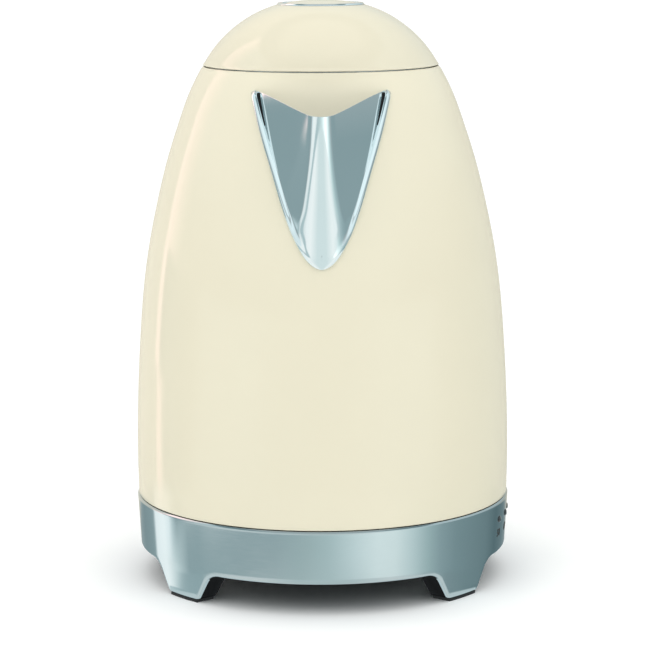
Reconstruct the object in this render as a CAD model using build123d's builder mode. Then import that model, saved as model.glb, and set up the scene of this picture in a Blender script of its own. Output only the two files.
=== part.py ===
from build123d import *
import math
import os

os.makedirs("parts", exist_ok=True)

# Cordless electric kettle on a 360 degree powered base.
# Frame: origin on the kettle's axis where it meets the table, +Z up,
# spout towards -Y, handle towards +Y, temperature controls towards +X.

# ------------------------------------------------------------------ driving dimensions (mm)
RING_TOP = 36.4          # top edge of the metal base ring
JUG_BOTTOM = 36.95       # bottom edge of the jug's shell
LID_SEAM_LOW = 223.5     # top edge of the jug's shell
LID_SEAM_HIGH = 224.1    # bottom edge of the lid's cap
SHELL_T = 1.0            # wall of the jug's shell and of the lid's cap
OPENING_R = 45.0         # filling opening
FLOOR_Z = 58.0           # underside of the vessel's floor
CUT_OUT_Z = 13.6         # height of the four cut-outs in the base ring
FOOT_ANGLE = 49.2        # each foot's middle, from the front/rear axis, degrees
RING_INNER_R = 78.6
PLATE_TOP = 33.8         # top of the base's moulded plate
BOTTOM_Z = 11.0          # underside of the base
BOSS_R = 56.0            # base screws stand on this radius
TOWER_R = 10.4           # base connector's tower
SOCKET_R = 11.0          # bore of the jug's connector
HINGE_Y, HINGE_Z = 54.5, 226.5   # lid hinge axis, behind the seam
PIN_R = 1.5
BUTTON_R = 16.0
BUTTON_TRAVEL = 3.0
LATCH_TRAVEL = 3.0
LATCH_Z = 218.2          # underside of the latch bolt
HANDLE_TOP_Z, HANDLE_LOW_Z = 199.0, 50.0
HANDLE_W, HANDLE_T = 26.0, 16.0
LED_COUNT, LED_FIRST, LED_PITCH, LED_Z = 7, 70.2, 9.0, 28.4
LEVER_ANGLES = (133.0, 146.0)    # from the front axis towards +X
LEVER_PIVOT_R, LEVER_Z = 72.0, 24.5
CORD_R = 3.0             # bore of the cord gland
CORD_Z = 6.9

# Outer profile of the jug and lid together: height, radius
PROFILE = [
    (37.0, 81.89), (50.0, 82.04), (65.0, 81.75), (85.0, 81.07), (105.0, 79.95),
    (125.0, 78.32), (145.0, 75.61), (165.0, 71.59), (185.0, 66.51), (200.0, 61.65),
    (212.0, 57.21), (223.8, 51.21), (232.0, 45.74), (240.0, 37.75), (246.0, 28.69),
    (248.5, 23.05), (250.1, 18.30),
]
CURVE = Spline(*[(r, z) for z, r in PROFILE])


def skin(z, off=0.0):
    """Radius at height z of the outer profile moved off along its normal."""
    lo, hi = 0.0, 1.0
    for _ in range(36):
        mid = (lo + hi) / 2
        p, t = CURVE @ mid, CURVE % mid
        if p.Y - t.X * off < z:
            lo = mid
        else:
            hi = mid
    p, t = CURVE @ lo, CURVE % lo
    return p.X + t.Y * off


def skin_line(z0, z1, off, n=14, bias=1.0):
    """Points of the offset profile from height z0 to z1; bias > 1 crowds the top."""
    pts = []
    for i in range(n + 1):
        s = 1 - (1 - i / n) ** bias
        z = z0 + (z1 - z0) * s
        pts.append((skin(z, off), z))
    return pts


def band(z0, z1, inner_off, outer_off, n=14):
    """Ring-shaped skin between two offsets of the outer profile."""
    inner, outer = skin_line(z0, z1, inner_off, n), skin_line(z0, z1, outer_off, n)
    with BuildPart() as ring:
        with BuildSketch(Plane.XZ):
            with BuildLine():
                Spline(*inner)
                Line(inner[-1], outer[-1])
                Spline(*outer[::-1])
                Line(outer[0], inner[0])
            make_face()
        revolve(axis=Axis.Z)
    return ring.part


def slope(z, off):
    """Unit tangent of the offset profile at height z, pointing up."""
    a, b = skin(z - 0.02, off), skin(z + 0.02, off)
    n = math.hypot(b - a, 0.04)
    return ((b - a) / n, 0.04 / n)


def tiers(cuts, inner_off, outer_off, n=7):
    """Like band, in several tangent tiers between the heights in cuts."""
    with BuildPart() as ring:
        with BuildSketch(Plane.XZ):
            with BuildLine():
                for z0, z1 in zip(cuts, cuts[1:]):
                    for off in (inner_off, outer_off):
                        Spline(*skin_line(z0, z1, off, n), tangents=(slope(z0, off), slope(z1, off)))
                for z in (cuts[0], cuts[-1]):
                    Line((skin(z, inner_off), z), (skin(z, outer_off), z))
            make_face()
        revolve(axis=Axis.Z)
    return ring.part


def envelope(z0, z1, off):
    """Solid of everything inside an offset of the outer profile."""
    outer = skin_line(z0, z1, off)
    with BuildPart() as solid:
        with BuildSketch(Plane.XZ):
            with BuildLine():
                Line((0, z0), outer[0])
                Spline(*outer)
                Line(outer[-1], (0, z1))
                Line((0, z1), (0, z0))
            make_face()
        revolve(axis=Axis.Z)
    return solid.part


def radial(angle, r=0.0, z=0.0):
    """Plane at azimuth angle (from -Y towards +X): x tangential, z outwards."""
    a = math.radians(angle)
    return Plane(
        origin=(r * math.sin(a), -r * math.cos(a), z),
        x_dir=(math.cos(a), math.sin(a), 0),
        z_dir=(math.sin(a), -math.cos(a), 0),
    )


def finish(builder, label):
    builder.part.label = label
    export_step(builder.part, f"parts/{label}.step")


# ================================================================== BASE
# ------------------------------------------------------------------ metal ring with four feet
with BuildPart() as foot_tool:
    # what is removed under the cut-outs: an annulus less the four feet
    with BuildSketch(Plane.XY.offset(-2)):
        Circle(100)
        Circle(60, mode=Mode.SUBTRACT)
    extrude(amount=CUT_OUT_Z + 2)
    for k in (FOOT_ANGLE, 180 - FOOT_ANGLE, 180 + FOOT_ANGLE, -FOOT_ANGLE):
        with BuildSketch(radial(k, 55)):
            with BuildLine():
                Polyline(
                    (-34, 20), (-34, CUT_OUT_Z), (-17.3, CUT_OUT_Z), (-8.4, -1.5), (-8.4, -4),
                    (8.4, -4), (8.4, -1.5), (17.3, CUT_OUT_Z), (34, CUT_OUT_Z), (34, 20), close=True,
                )
            make_face()
            fillet([v for v in vertices() if abs(v.Y - CUT_OUT_Z) < 0.01 and abs(abs(v.X) - 17.3) < 0.1], radius=8.6)
            fillet([v for v in vertices() if abs(v.Y + 1.5) < 0.01], radius=1.0)
        extrude(amount=50, mode=Mode.SUBTRACT)

with BuildPart() as base_ring:
    with BuildSketch(Plane.XZ):
        with BuildLine():
            Polyline(
                (69.5, 1.2), (79.15, 1.2), (79.5, 1.9), (80.72, 14.0), (82.0, RING_TOP - 0.7),
                (81.3, RING_TOP), (RING_INNER_R, RING_TOP), (RING_INNER_R, 31.15), (76.5, 31.15),
                (76.5, 30.15), (RING_INNER_R, 30.15), (RING_INNER_R, 16.2), (66.0, 16.2),
                (66.0, CUT_OUT_Z), (69.5, CUT_OUT_Z), close=True,
            )
        make_face()
    revolve(axis=Axis.Z)
    add(foot_tool.part, mode=Mode.SUBTRACT)
    # seats of the indicator lenses
    for i in range(LED_COUNT):
        with BuildSketch(radial(LED_FIRST + LED_PITCH * i, 70, LED_Z)):
            Circle(1.5)
        extrude(amount=20, mode=Mode.SUBTRACT)
    # upright slots for the two levers
    for a in LEVER_ANGLES:
        with BuildSketch(radial(a, 77, LEVER_Z)):
            SlotOverall(8.6, 3.8, rotation=90)
        extrude(amount=10, mode=Mode.SUBTRACT)
finish(base_ring, "base_ring")

with BuildPart() as foot_pads:
    with BuildSketch(Plane.XY):
        Circle(79.1)
        Circle(70.2, mode=Mode.SUBTRACT)
    extrude(amount=1.2)
    with BuildSketch(Plane.XY):
        for k in (FOOT_ANGLE, 180 - FOOT_ANGLE, 180 + FOOT_ANGLE, -FOOT_ANGLE):
            a = math.radians(k)
            with Locations(Location((75 * math.sin(a), -75 * math.cos(a), 0), (0, 0, k))):
                Rectangle(18.0, 14)
    extrude(amount=1.2, mode=Mode.INTERSECT)
finish(foot_pads, "foot_pads")

# ------------------------------------------------------------------ moulded plate on which the jug stands
with BuildPart() as base_top_plate:
    with BuildSketch(Plane.XY.offset(31.2)):
        Circle(78.3)
    extrude(amount=PLATE_TOP - 31.2)
    with BuildSketch(Plane.XY.offset(PLATE_TOP)):
        Circle(31.0)
        Circle(28.5, mode=Mode.SUBTRACT)
    extrude(amount=2.2)
    with BuildSketch(Plane.XY.offset(15.05)):
        with PolarLocations(BOSS_R, 4, start_angle=45):
            Circle(4.0)
    extrude(amount=31.2 - 15.05)
    with BuildSketch(Plane.XY.offset(15.0)):
        with PolarLocations(BOSS_R, 4, start_angle=45):
            Circle(1.6)
    extrude(amount=13, mode=Mode.SUBTRACT)
    with BuildSketch(Plane.XY.offset(30)):
        Circle(17.0)
    extrude(amount=10, mode=Mode.SUBTRACT)
finish(base_top_plate, "base_top_plate")

# ------------------------------------------------------------------ underside cover with the cord-wrap hub
with BuildPart() as base_bottom_cover:
    with BuildSketch(Plane.XY.offset(BOTTOM_Z)):
        Circle(69.2)
    extrude(amount=13.5 - BOTTOM_Z)
    with BuildSketch(Plane.XY.offset(13.5)):
        Circle(65.8)
    extrude(amount=1.5)
    with BuildSketch(Plane.XY.offset(4.0)):
        Circle(38.5)
        Circle(36.0, mode=Mode.SUBTRACT)
    extrude(amount=BOTTOM_Z - 4.0)
    with BuildSketch(Plane.XY.offset(15.0)):
        with Locations((28, 26), (28, -26), (58, 26), (58, -26)):
            Circle(2.0)
    extrude(amount=4.0)
    with BuildSketch(Plane.XY.offset(BOTTOM_Z)):
        with PolarLocations(BOSS_R, 4, start_angle=45):
            Circle(1.8)
    extrude(amount=6, mode=Mode.SUBTRACT)
    with BuildSketch(Plane.XY.offset(BOTTOM_Z)):
        with PolarLocations(BOSS_R, 4, start_angle=45):
            Circle(3.3)
    extrude(amount=1.8, mode=Mode.SUBTRACT)
    # drain holes round the hub
    with BuildSketch(Plane.XY.offset(BOTTOM_Z)):
        with PolarLocations(46, 3, start_angle=150):
            SlotOverall(9, 2.4)
    extrude(amount=6, mode=Mode.SUBTRACT)
finish(base_bottom_cover, "base_bottom_cover")

with BuildPart() as base_screws:
    with BuildSketch(Plane.XY.offset(BOTTOM_Z + 0.2)):
        with PolarLocations(BOSS_R, 4, start_angle=45):
            Circle(2.9)
    extrude(amount=1.6)
    with BuildSketch(Plane.XY.offset(BOTTOM_Z + 1.8)):
        with PolarLocations(BOSS_R, 4, start_angle=45):
            Circle(1.5)
    extrude(amount=13)
    with BuildSketch(Plane.XY.offset(BOTTOM_Z + 0.2)):
        with PolarLocations(BOSS_R, 4, start_angle=45):
            Rectangle(3.4, 0.8)
            Rectangle(0.8, 3.4)
    extrude(amount=0.9, mode=Mode.SUBTRACT)
finish(base_screws, "base_screws")

# ------------------------------------------------------------------ strain relief where the mains lead enters
with BuildPart() as cord_gland:
    with BuildSketch(Plane.XY.offset(2.8)):
        with Locations((0, 53.5)):
            RectangleRounded(15, 23, 2.5)
    extrude(amount=BOTTOM_Z - 2.8)
    with BuildSketch(Plane.XZ.offset(-70)):
        with Locations((0, CORD_Z)):
            Circle(CORD_R)
    extrude(amount=40, mode=Mode.SUBTRACT)
finish(cord_gland, "cord_gland")

# ------------------------------------------------------------------ male half of the 360 degree connector
with BuildPart() as base_connector:
    with BuildSketch(Plane.XZ):
        with BuildLine():
            Polyline(
                (0, 22.0), (16.4, 22.0), (16.4, PLATE_TOP + 0.05), (22.0, PLATE_TOP + 0.05), (22.0, 35.2),
                (TOWER_R, 35.2), (TOWER_R, 45.4), (9.8, 46.0), (6.9, 46.0), (6.9, 40.2), (5.1, 40.2),
                (5.1, 46.0), (2.3, 46.0), (2.3, 38.8), (0, 38.8), close=True,
            )
        make_face()
    revolve(axis=Axis.Z)
finish(base_connector, "base_connector")

# loose ring that shields the contacts and turns with the jug
with BuildPart() as connector_shutter:
    with BuildSketch(Plane.XZ):
        with BuildLine():
            Polyline(
                (TOWER_R + 0.35, 35.4), (19.5, 35.4), (19.5, 36.6), (18.7, 37.3), (12.6, 37.3),
                (12.6, 36.6), (TOWER_R + 0.35, 36.6), close=True,
            )
        make_face()
    revolve(axis=Axis.Z)
finish(connector_shutter, "connector_shutter")

# ------------------------------------------------------------------ control electronics
with BuildPart() as control_board:
    with BuildSketch(Plane.XY.offset(19.0)):
        with Locations((43, 0)):
            RectangleRounded(40, 60, 3)
    extrude(amount=1.6)
finish(control_board, "control_board")

with BuildPart() as power_relay:
    with BuildSketch(Plane.XY.offset(20.6)):
        with Locations((42, -14)):
            RectangleRounded(15.5, 20, 0.8)
    extrude(amount=9.6)
    chamfer(power_relay.edges().group_by(Axis.Z)[-1], length=0.5)
finish(power_relay, "power_relay")

with BuildPart() as led_carrier:
    # arc of opaque moulding behind the lenses
    with BuildSketch(Plane.XY.offset(25.4)):
        with BuildLine():
            a0, a1 = math.radians(67 - 90), math.radians(127.6 - 90)
            am = (a0 + a1) / 2
            ri, ro = 71.6, 74.6
            ThreePointArc((ri * math.cos(a0), ri * math.sin(a0)), (ri * math.cos(am), ri * math.sin(am)), (ri * math.cos(a1), ri * math.sin(a1)))
            Line((ri * math.cos(a1), ri * math.sin(a1)), (ro * math.cos(a1), ro * math.sin(a1)))
            ThreePointArc((ro * math.cos(a1), ro * math.sin(a1)), (ro * math.cos(am), ro * math.sin(am)), (ro * math.cos(a0), ro * math.sin(a0)))
            Line((ro * math.cos(a0), ro * math.sin(a0)), (ri * math.cos(a0), ri * math.sin(a0)))
        make_face()
    extrude(amount=5.6)
finish(led_carrier, "led_carrier")

with BuildPart() as indicator_lenses:
    # seven domed light pipes through the ring
    for i in range(LED_COUNT):
        with BuildSketch(radial(LED_FIRST + LED_PITCH * i, 74.65, LED_Z)):
            Circle(1.42)
        extrude(amount=7.45)
    fillet(
        [e for e in indicator_lenses.edges().filter_by(GeomType.CIRCLE)
         if math.hypot(e.center().X, e.center().Y) > 80], radius=0.6,
    )
finish(indicator_lenses, "indicator_lenses")

# ------------------------------------------------------------------ two sprung levers with ball ends
def lever(angle):
    with BuildPart() as arm:
        with BuildSketch(radial(angle, 66.0, LEVER_Z)):
            Circle(1.4)
        extrude(amount=25.5)
        base_plane = radial(angle, LEVER_PIVOT_R, LEVER_Z)
        hub = Plane(origin=base_plane.origin, x_dir=base_plane.z_dir, z_dir=base_plane.x_dir)
        with BuildSketch(hub.offset(-2.4)):
            Circle(2.4)
        extrude(amount=4.8)
        a = math.radians(angle)
        with Locations((92.4 * math.sin(a), -92.4 * math.cos(a), LEVER_Z)):
            Sphere(3.7)
        with BuildSketch(hub.offset(-3)):
            Circle(1.05)
        extrude(amount=6, mode=Mode.SUBTRACT)
    return arm


start_lever = lever(LEVER_ANGLES[0])
finish(start_lever, "start_lever")
temperature_lever = lever(LEVER_ANGLES[1])
finish(temperature_lever, "temperature_lever")

with BuildPart() as lever_brackets:
    for a in LEVER_ANGLES:
        # foot on the ring's flange, then an ear on each side of the lever
        with BuildSketch(radial(a, 69.6, 17.4)):
            Rectangle(8.6, 2.3)
        extrude(amount=5.2)
        with BuildSketch(radial(a, 69.6, 22.4)):
            with Locations((-3.45, 0), (3.45, 0)):
                Rectangle(1.7, 10.0)
        extrude(amount=5.2)
    for a in LEVER_ANGLES:
        p = radial(a, LEVER_PIVOT_R, LEVER_Z)
        hub = Plane(origin=p.origin, x_dir=p.z_dir, z_dir=p.x_dir)
        with BuildSketch(hub.offset(-6)):
            Circle(1.02)
        extrude(amount=12, mode=Mode.SUBTRACT)
finish(lever_brackets, "lever_brackets")

with BuildPart() as lever_pins:
    for a in LEVER_ANGLES:
        p = radial(a, LEVER_PIVOT_R, LEVER_Z)
        hub = Plane(origin=p.origin, x_dir=p.z_dir, z_dir=p.x_dir)
        with BuildSketch(hub.offset(-4.4)):
            Circle(1.0)
        extrude(amount=8.8)
finish(lever_pins, "lever_pins")

with BuildPart() as lever_switches:
    for a in LEVER_ANGLES:
        with BuildSketch(radial(a, 63.6, 18.5)):
            Rectangle(6.0, 4.4)
        extrude(amount=4.6)
        s = math.radians(a)
        with BuildSketch(Plane.XY.offset(20.7)):
            with Locations((66.3 * math.sin(s), -66.3 * math.cos(s))):
                Circle(1.1)
        extrude(amount=0.9)
finish(lever_switches, "lever_switches")

# ================================================================== JUG
# ------------------------------------------------------------------ outline of the V-shaped spout in the XZ plane
V_OUT = [(0, 144.85), (3.27, 145.95), (6.54, 148.75), (9.56, 153.3), (15.06, 165.4),
         (20.6, 182.9), (26.24, 201.9), (29.0, 213.4)]
V_IN = [(0, 152.0), (5.6, 156.3), (9.3, 162.4), (15.06, 178.6), (20.93, 199.2), (25.1, 214.0)]


def v_outline(pts, grow=0.0):
    """Right half of a V outline, bottom to top, mirrored into one left-to-right list."""
    right = []
    for i, (x, z) in enumerate(pts):
        a = pts[max(i - 1, 0)]
        b = pts[min(i + 1, len(pts) - 1)]
        tx, tz = (1, 0) if i == 0 else (b[0] - a[0], b[1] - a[1])
        n = math.hypot(tx, tz)
        right.append((x + grow * tz / n, z - grow * tx / n))
    left = [(-x, z) for x, z in right[:0:-1]]
    return left + right


def v_ring(z_shift=0.0, shrink=0.0):
    """V-shaped flange outline with round tips, as a wire in the current BuildLine."""
    out, inn = v_outline(V_OUT, -shrink), v_outline(V_IN, shrink)
    Spline(*out)
    tip = (27.35, 217.0 - shrink)
    ThreePointArc(out[-1], tip, inn[-1])
    Spline(*inn[::-1])
    ThreePointArc(inn[0], (-tip[0], tip[1]), out[0])


# ------------------------------------------------------------------ painted steel shell
HOLE = [(0, 160.5), (4.2, 164.5), (8.0, 172.5), (12.2, 186.0), (15.6, 199.0)]

with BuildPart() as body_shell:
    add(tiers([JUG_BOTTOM, 66.0, 158.0, LID_SEAM_LOW], -SHELL_T, 0.0))
    # pouring hole behind the spout
    with BuildSketch(Plane.XZ):
        with BuildLine():
            hole = v_outline(HOLE)
            Spline(*hole)
            ThreePointArc(hole[-1], (0, 203.0), hole[0])
        make_face()
    extrude(amount=100, mode=Mode.SUBTRACT)
    # water-level slot and handle screw holes at the rear
    with BuildSketch(Plane.XZ):
        with Locations((0, 112)):
            SlotOverall(76, 12, rotation=90)
        with Locations((-6, HANDLE_TOP_Z), (6, HANDLE_TOP_Z), (-6, HANDLE_LOW_Z), (6, HANDLE_LOW_Z)):
            Circle(1.95)
    extrude(amount=-100, mode=Mode.SUBTRACT)
finish(body_shell, "body_shell")

# ------------------------------------------------------------------ collar of the filling opening
inner_wall = skin_line(212.0, 222.4, -SHELL_T - 0.1, 6)
with BuildPart() as collar:
    with BuildSketch(Plane.XZ):
        with BuildLine():
            top = inner_wall[-1]
            ledge = (skin(220.6, -SHELL_T - 0.1), 220.6)
            Polyline(
                (OPENING_R, 212.0), (46.6, 212.0), (46.6, 220.6), ledge, top, (OPENING_R + 0.6, 222.4),
                (OPENING_R, 221.8), close=True,
            )
        make_face()
    revolve(axis=Axis.Z)
    # pocket for the latch bolt, under the front lip
    with BuildSketch(Plane.XZ.offset(40)):
        with Locations((0, 219.2)):
            Rectangle(14.4, 3.4)
    extrude(amount=8, mode=Mode.SUBTRACT)
finish(collar, "collar")

# ------------------------------------------------------------------ vessel floor and heater below it
floor_r = skin(57.0, -SHELL_T) - 0.1
with BuildPart() as heater_plate:
    with BuildSketch(Plane.XZ):
        with BuildLine():
            Polyline(
                (0, FLOOR_Z), (floor_r - 1.0, FLOOR_Z), (floor_r - 1.0, 54.0), (floor_r, 54.0),
                (floor_r, FLOOR_Z + 1.2), (0, FLOOR_Z + 1.2), close=True,
            )
        make_face()
    revolve(axis=Axis.Z)
    with BuildSketch(Plane.XY.offset(50)):
        with Locations((0, 63)):
            Circle(3.6)
    extrude(amount=20, mode=Mode.SUBTRACT)
finish(heater_plate, "heater_plate")

with BuildPart() as heat_spreader:
    with BuildSketch(Plane.XY.offset(55.4)):
        Circle(55.0)
    extrude(amount=2.55)
finish(heat_spreader, "heat_spreader")

with BuildPart() as heating_element:
    # sheathed ring brazed under the spreader, open at the rear
    with BuildSketch(Plane.XZ):
        with Locations((44.0, 51.7)):
            Circle(3.6)
    revolve(axis=Axis.Z, revolution_arc=300)
finish(heating_element, "heating_element")

with BuildPart() as thermostat_control:
    with BuildSketch(Plane.XY.offset(50.1)):
        RectangleRounded(52, 36, 5)
    extrude(amount=5.2)
finish(thermostat_control, "thermostat_control")

with BuildPart() as temperature_probe:
    with BuildSketch(Plane.XY.offset(47.0)):
        with Locations((0, 63)):
            Circle(2.5)
    extrude(amount=22.5)
    fillet(temperature_probe.edges().group_by(Axis.Z)[-1], radius=2.0)
    with BuildSketch(Plane.XY.offset(50.0)):
        with Locations((0, 63)):
            Circle(5.5)
    extrude(amount=2.0)
finish(temperature_probe, "temperature_probe")

with BuildPart() as probe_seal:
    with BuildSketch(Plane.XY.offset(57.0)):
        with Locations((0, 63)):
            Circle(3.55)
            Circle(2.55, mode=Mode.SUBTRACT)
    extrude(amount=3.6)
    with BuildSketch(Plane.XY.offset(FLOOR_Z + 1.25)):
        with Locations((0, 63)):
            Circle(5.6)
            Circle(2.55, mode=Mode.SUBTRACT)
    extrude(amount=1.35)
finish(probe_seal, "probe_seal")

# ------------------------------------------------------------------ jug's underside
with BuildPart() as jug_bottom_cover:
    with BuildSketch(Plane.XY.offset(38.4)):
        Circle(79.6)
        Circle(20.4, mode=Mode.SUBTRACT)
    extrude(amount=2.0)
    with BuildSketch(Plane.XY.offset(40.4)):
        Circle(79.6)
        Circle(78.1, mode=Mode.SUBTRACT)
        Circle(22.6)
        Circle(20.4, mode=Mode.SUBTRACT)
    extrude(amount=3.6)
    with BuildSketch(Plane.XY.offset(40.4)):
        with PolarLocations(68, 3, start_angle=30):
            Circle(3.6)
    extrude(amount=FLOOR_Z - 0.05 - 40.4)
    with BuildSketch(Plane.XY.offset(38.0)):
        with PolarLocations(68, 3, start_angle=30):
            Circle(1.6)
    extrude(amount=17, mode=Mode.SUBTRACT)
    with BuildSketch(Plane.XY.offset(38.0)):
        with PolarLocations(68, 3, start_angle=30):
            Circle(2.9)
    extrude(amount=2.2, mode=Mode.SUBTRACT)
finish(jug_bottom_cover, "jug_bottom_cover")

with BuildPart() as jug_screws:
    with BuildSketch(Plane.XY.offset(38.6)):
        with PolarLocations(68, 3, start_angle=30):
            Circle(2.7)
    extrude(amount=1.6)
    with BuildSketch(Plane.XY.offset(40.2)):
        with PolarLocations(68, 3, start_angle=30):
            Circle(1.5)
    extrude(amount=14)
    with BuildSketch(Plane.XY.offset(38.6)):
        with PolarLocations(68, 3, start_angle=30):
            Rectangle(3.2, 0.8)
            Rectangle(0.8, 3.2)
    extrude(amount=0.9, mode=Mode.SUBTRACT)
finish(jug_screws, "jug_screws")

with BuildPart() as jug_connector:
    # socket over the base's tower, with a centre pin and a ring blade
    with BuildSketch(Plane.XZ):
        with BuildLine():
            Polyline(
                (0, 39.6), (1.3, 39.6), (1.7, 40.2), (1.7, 47.2), (5.6, 47.2), (5.6, 41.2), (6.4, 41.2),
                (6.4, 47.2), (SOCKET_R, 47.2), (SOCKET_R, 38.6), (SOCKET_R + 1.0, 37.6), (19.2, 37.6),
                (19.2, 44.1), (24.0, 44.1), (24.0, 50.0), (0, 50.0), close=True,
            )
        make_face()
    revolve(axis=Axis.Z)
finish(jug_connector, "jug_connector")

# ------------------------------------------------------------------ spout
# Sections of the beak: height, half width at the wall, depth of the nose (-Y), half width of the nose
BEAK = [
    (150.0, 4.6, 78.5, 3.2), (157.0, 7.4, 79.5, 5.2), (165.0, 10.4, 80.4, 6.3), (176.0, 14.2, 81.8, 6.2),
    (190.0, 18.3, 83.6, 5.4), (204.0, 22.2, 85.6, 4.7), (219.0, 26.2, 87.9, 4.3),
]


def beak_section(z, a, nose, k, inset):
    """Closed outline at height z: wall, flank, round nose, flank, wall."""
    a += 1.5                          # the flank rises out of the middle of the flange
    wall = math.sqrt(skin(z) ** 2 - a * a)
    drop = min(2.6, 0.35 * (nose - wall))
    yk = nose - drop
    dx, dy = a - k, yk - wall
    n = math.hypot(dx, dy)
    ux, uy = dx / n, -dy / n          # from the nose corner towards the wall
    a0, y0 = a + ux * 6, wall + uy * 6
    a0, k0 = a0 - inset * 1.1, max(k - inset * 0.8, 0.8)
    y0, yk, yn = y0 - inset * 0.2, yk - inset * 0.8, nose - inset
    mid = ((a0 + k0) / 2 - 0.35, (y0 + yk) / 2 - 0.35)
    pts = [(a0, -y0), (mid[0], -mid[1]), (k0, -yk), (k0 * 0.55, -(yk + (yn - yk) * 0.72)), (0, -yn)]
    return pts[:-1] + [pts[-1]] + [(-x, y) for x, y in pts[-2::-1]]


def beak(inset, z_low):
    with BuildPart() as solid:
        for z, a, nose, k in BEAK:
            if z < z_low:
                continue
            pts = beak_section(z, a, nose, k, inset)
            with BuildSketch(Plane.XY.offset(z)):
                with BuildLine():
                    Spline(*pts)
                    Line(pts[-1], pts[0])
                make_face()
        loft()
    return solid.part


lip_plane = Plane(origin=(0, -50, 214.8), x_dir=(1, 0, 0), z_dir=(0, -0.17, 1))
passage = beak(1.5, 157.0)
inner_space = envelope(140.0, 222.0, 0.45)

with BuildPart() as spout_flange:
    add(band(143.0, 219.0, 0.2, 2.3))
    with BuildSketch(Plane.XZ):
        with BuildLine():
            v_ring()
        make_face()
    extrude(amount=100, mode=Mode.INTERSECT)

with BuildPart() as spout:
    add(beak(0.0, 150.0))
    split(bisect_by=lip_plane, keep=Keep.BOTTOM)
    add(spout_flange.part)
    add(passage, mode=Mode.SUBTRACT)
    add(inner_space, mode=Mode.SUBTRACT)
finish(spout, "spout")

with BuildPart() as spout_gasket:
    add(band(143.0, 219.0, 0.03, 0.42))
    with BuildSketch(Plane.XZ):
        with BuildLine():
            v_ring(shrink=0.5)
        make_face()
    extrude(amount=100, mode=Mode.INTERSECT)
finish(spout_gasket, "spout_gasket")

# ------------------------------------------------------------------ removable filter behind the pouring hole
with BuildPart() as filter_frame:
    add(band(150.0, 209.0, -3.6, -1.4))
    with BuildSketch(Plane.XZ):
        with BuildLine():
            out = v_outline(HOLE, 3.0)
            Spline(*out)
            ThreePointArc(out[-1], (0, 206.2), out[0])
        make_face()
        with BuildLine():
            inn = v_outline(HOLE, -1.2)
            Spline(*inn)
            ThreePointArc(inn[-1], (0, 200.6), inn[0])
        make_face(mode=Mode.SUBTRACT)
    extrude(amount=100, mode=Mode.INTERSECT)
    # finger tab at the top, towards the middle of the vessel
    with BuildSketch(Plane.XY.offset(202.6)):
        with Locations((0, -55.6)):
            RectangleRounded(9, 5.4, 1.2)
    extrude(amount=1.8)
finish(filter_frame, "filter_frame")

with BuildPart() as filter_mesh:
    add(band(150.0, 209.0, -2.7, -2.3))
    with BuildSketch(Plane.XZ):
        with BuildLine():
            out = v_outline(HOLE, -1.3)
            Spline(*out)
            ThreePointArc(out[-1], (0, 200.4), out[0])
        make_face()
    extrude(amount=100, mode=Mode.INTERSECT)
    # rows of slots
    with BuildSketch(Plane.XZ):
        for z, w in ((172, 5), (176, 8), (180, 10), (184, 13), (188, 15), (192, 17), (196, 18)):
            with Locations((0, z)):
                SlotOverall(w, 1.6)
    extrude(amount=100, mode=Mode.SUBTRACT)
finish(filter_mesh, "filter_mesh")

# ------------------------------------------------------------------ water-level window
with BuildPart() as level_window:
    add(band(70.0, 155.0, -1.55, 0.5))
    with BuildSketch(Plane.XZ):
        with Locations((0, 112)):
            SlotOverall(75.6, 11.6, rotation=90)
    extrude(amount=-100, mode=Mode.INTERSECT)

with BuildPart() as window_flange:
    add(band(66.0, 160.0, -3.0, -1.5))
    with BuildSketch(Plane.XZ):
        with Locations((0, 112)):
            SlotOverall(84, 20, rotation=90)
    extrude(amount=-100, mode=Mode.INTERSECT)

with BuildPart() as water_window:
    add(level_window.part)
    add(window_flange.part)
finish(water_window, "level_window")

with BuildPart() as window_gasket:
    add(band(66.0, 160.0, -1.45, -1.03))
    with BuildSketch(Plane.XZ):
        with Locations((0, 112)):
            SlotOverall(84, 20, rotation=90)
            SlotOverall(75.8, 11.8, rotation=90, mode=Mode.SUBTRACT)
    extrude(amount=-100, mode=Mode.INTERSECT)
finish(window_gasket, "window_gasket")

# ------------------------------------------------------------------ handle
with BuildPart() as handle_top_mount:
    with BuildSketch(Plane.XZ.offset(-69.9)):
        with Locations((0, HANDLE_TOP_Z)):
            Ellipse(HANDLE_W / 2 + 1.2, HANDLE_T / 2 + 1.0)
    extrude(amount=25)
    add(envelope(180.0, 218.0, 0.06), mode=Mode.SUBTRACT)
    with BuildSketch(Plane.XZ):
        with Locations((-6, HANDLE_TOP_Z), (6, HANDLE_TOP_Z)):
            Circle(1.65)
    extrude(amount=-67, mode=Mode.SUBTRACT)
    fillet(handle_top_mount.faces().sort_by(Axis.Y)[-1].edges(), radius=0.8)
finish(handle_top_mount, "handle_top_mount")

with BuildPart() as handle_lower_mount:
    with BuildSketch(Plane.XZ.offset(-89.9)):
        with Locations((0, HANDLE_LOW_Z)):
            Ellipse(HANDLE_W / 2 + 1.2, HANDLE_T / 2 + 1.0)
    extrude(amount=20)
    add(envelope(38.0, 62.0, 0.06), mode=Mode.SUBTRACT)
    with BuildSketch(Plane.XZ):
        with Locations((-6, HANDLE_LOW_Z), (6, HANDLE_LOW_Z)):
            Circle(1.65)
    extrude(amount=-87, mode=Mode.SUBTRACT)
    fillet(handle_lower_mount.faces().sort_by(Axis.Y)[-1].edges(), radius=0.8)
finish(handle_lower_mount, "handle_lower_mount")

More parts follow.
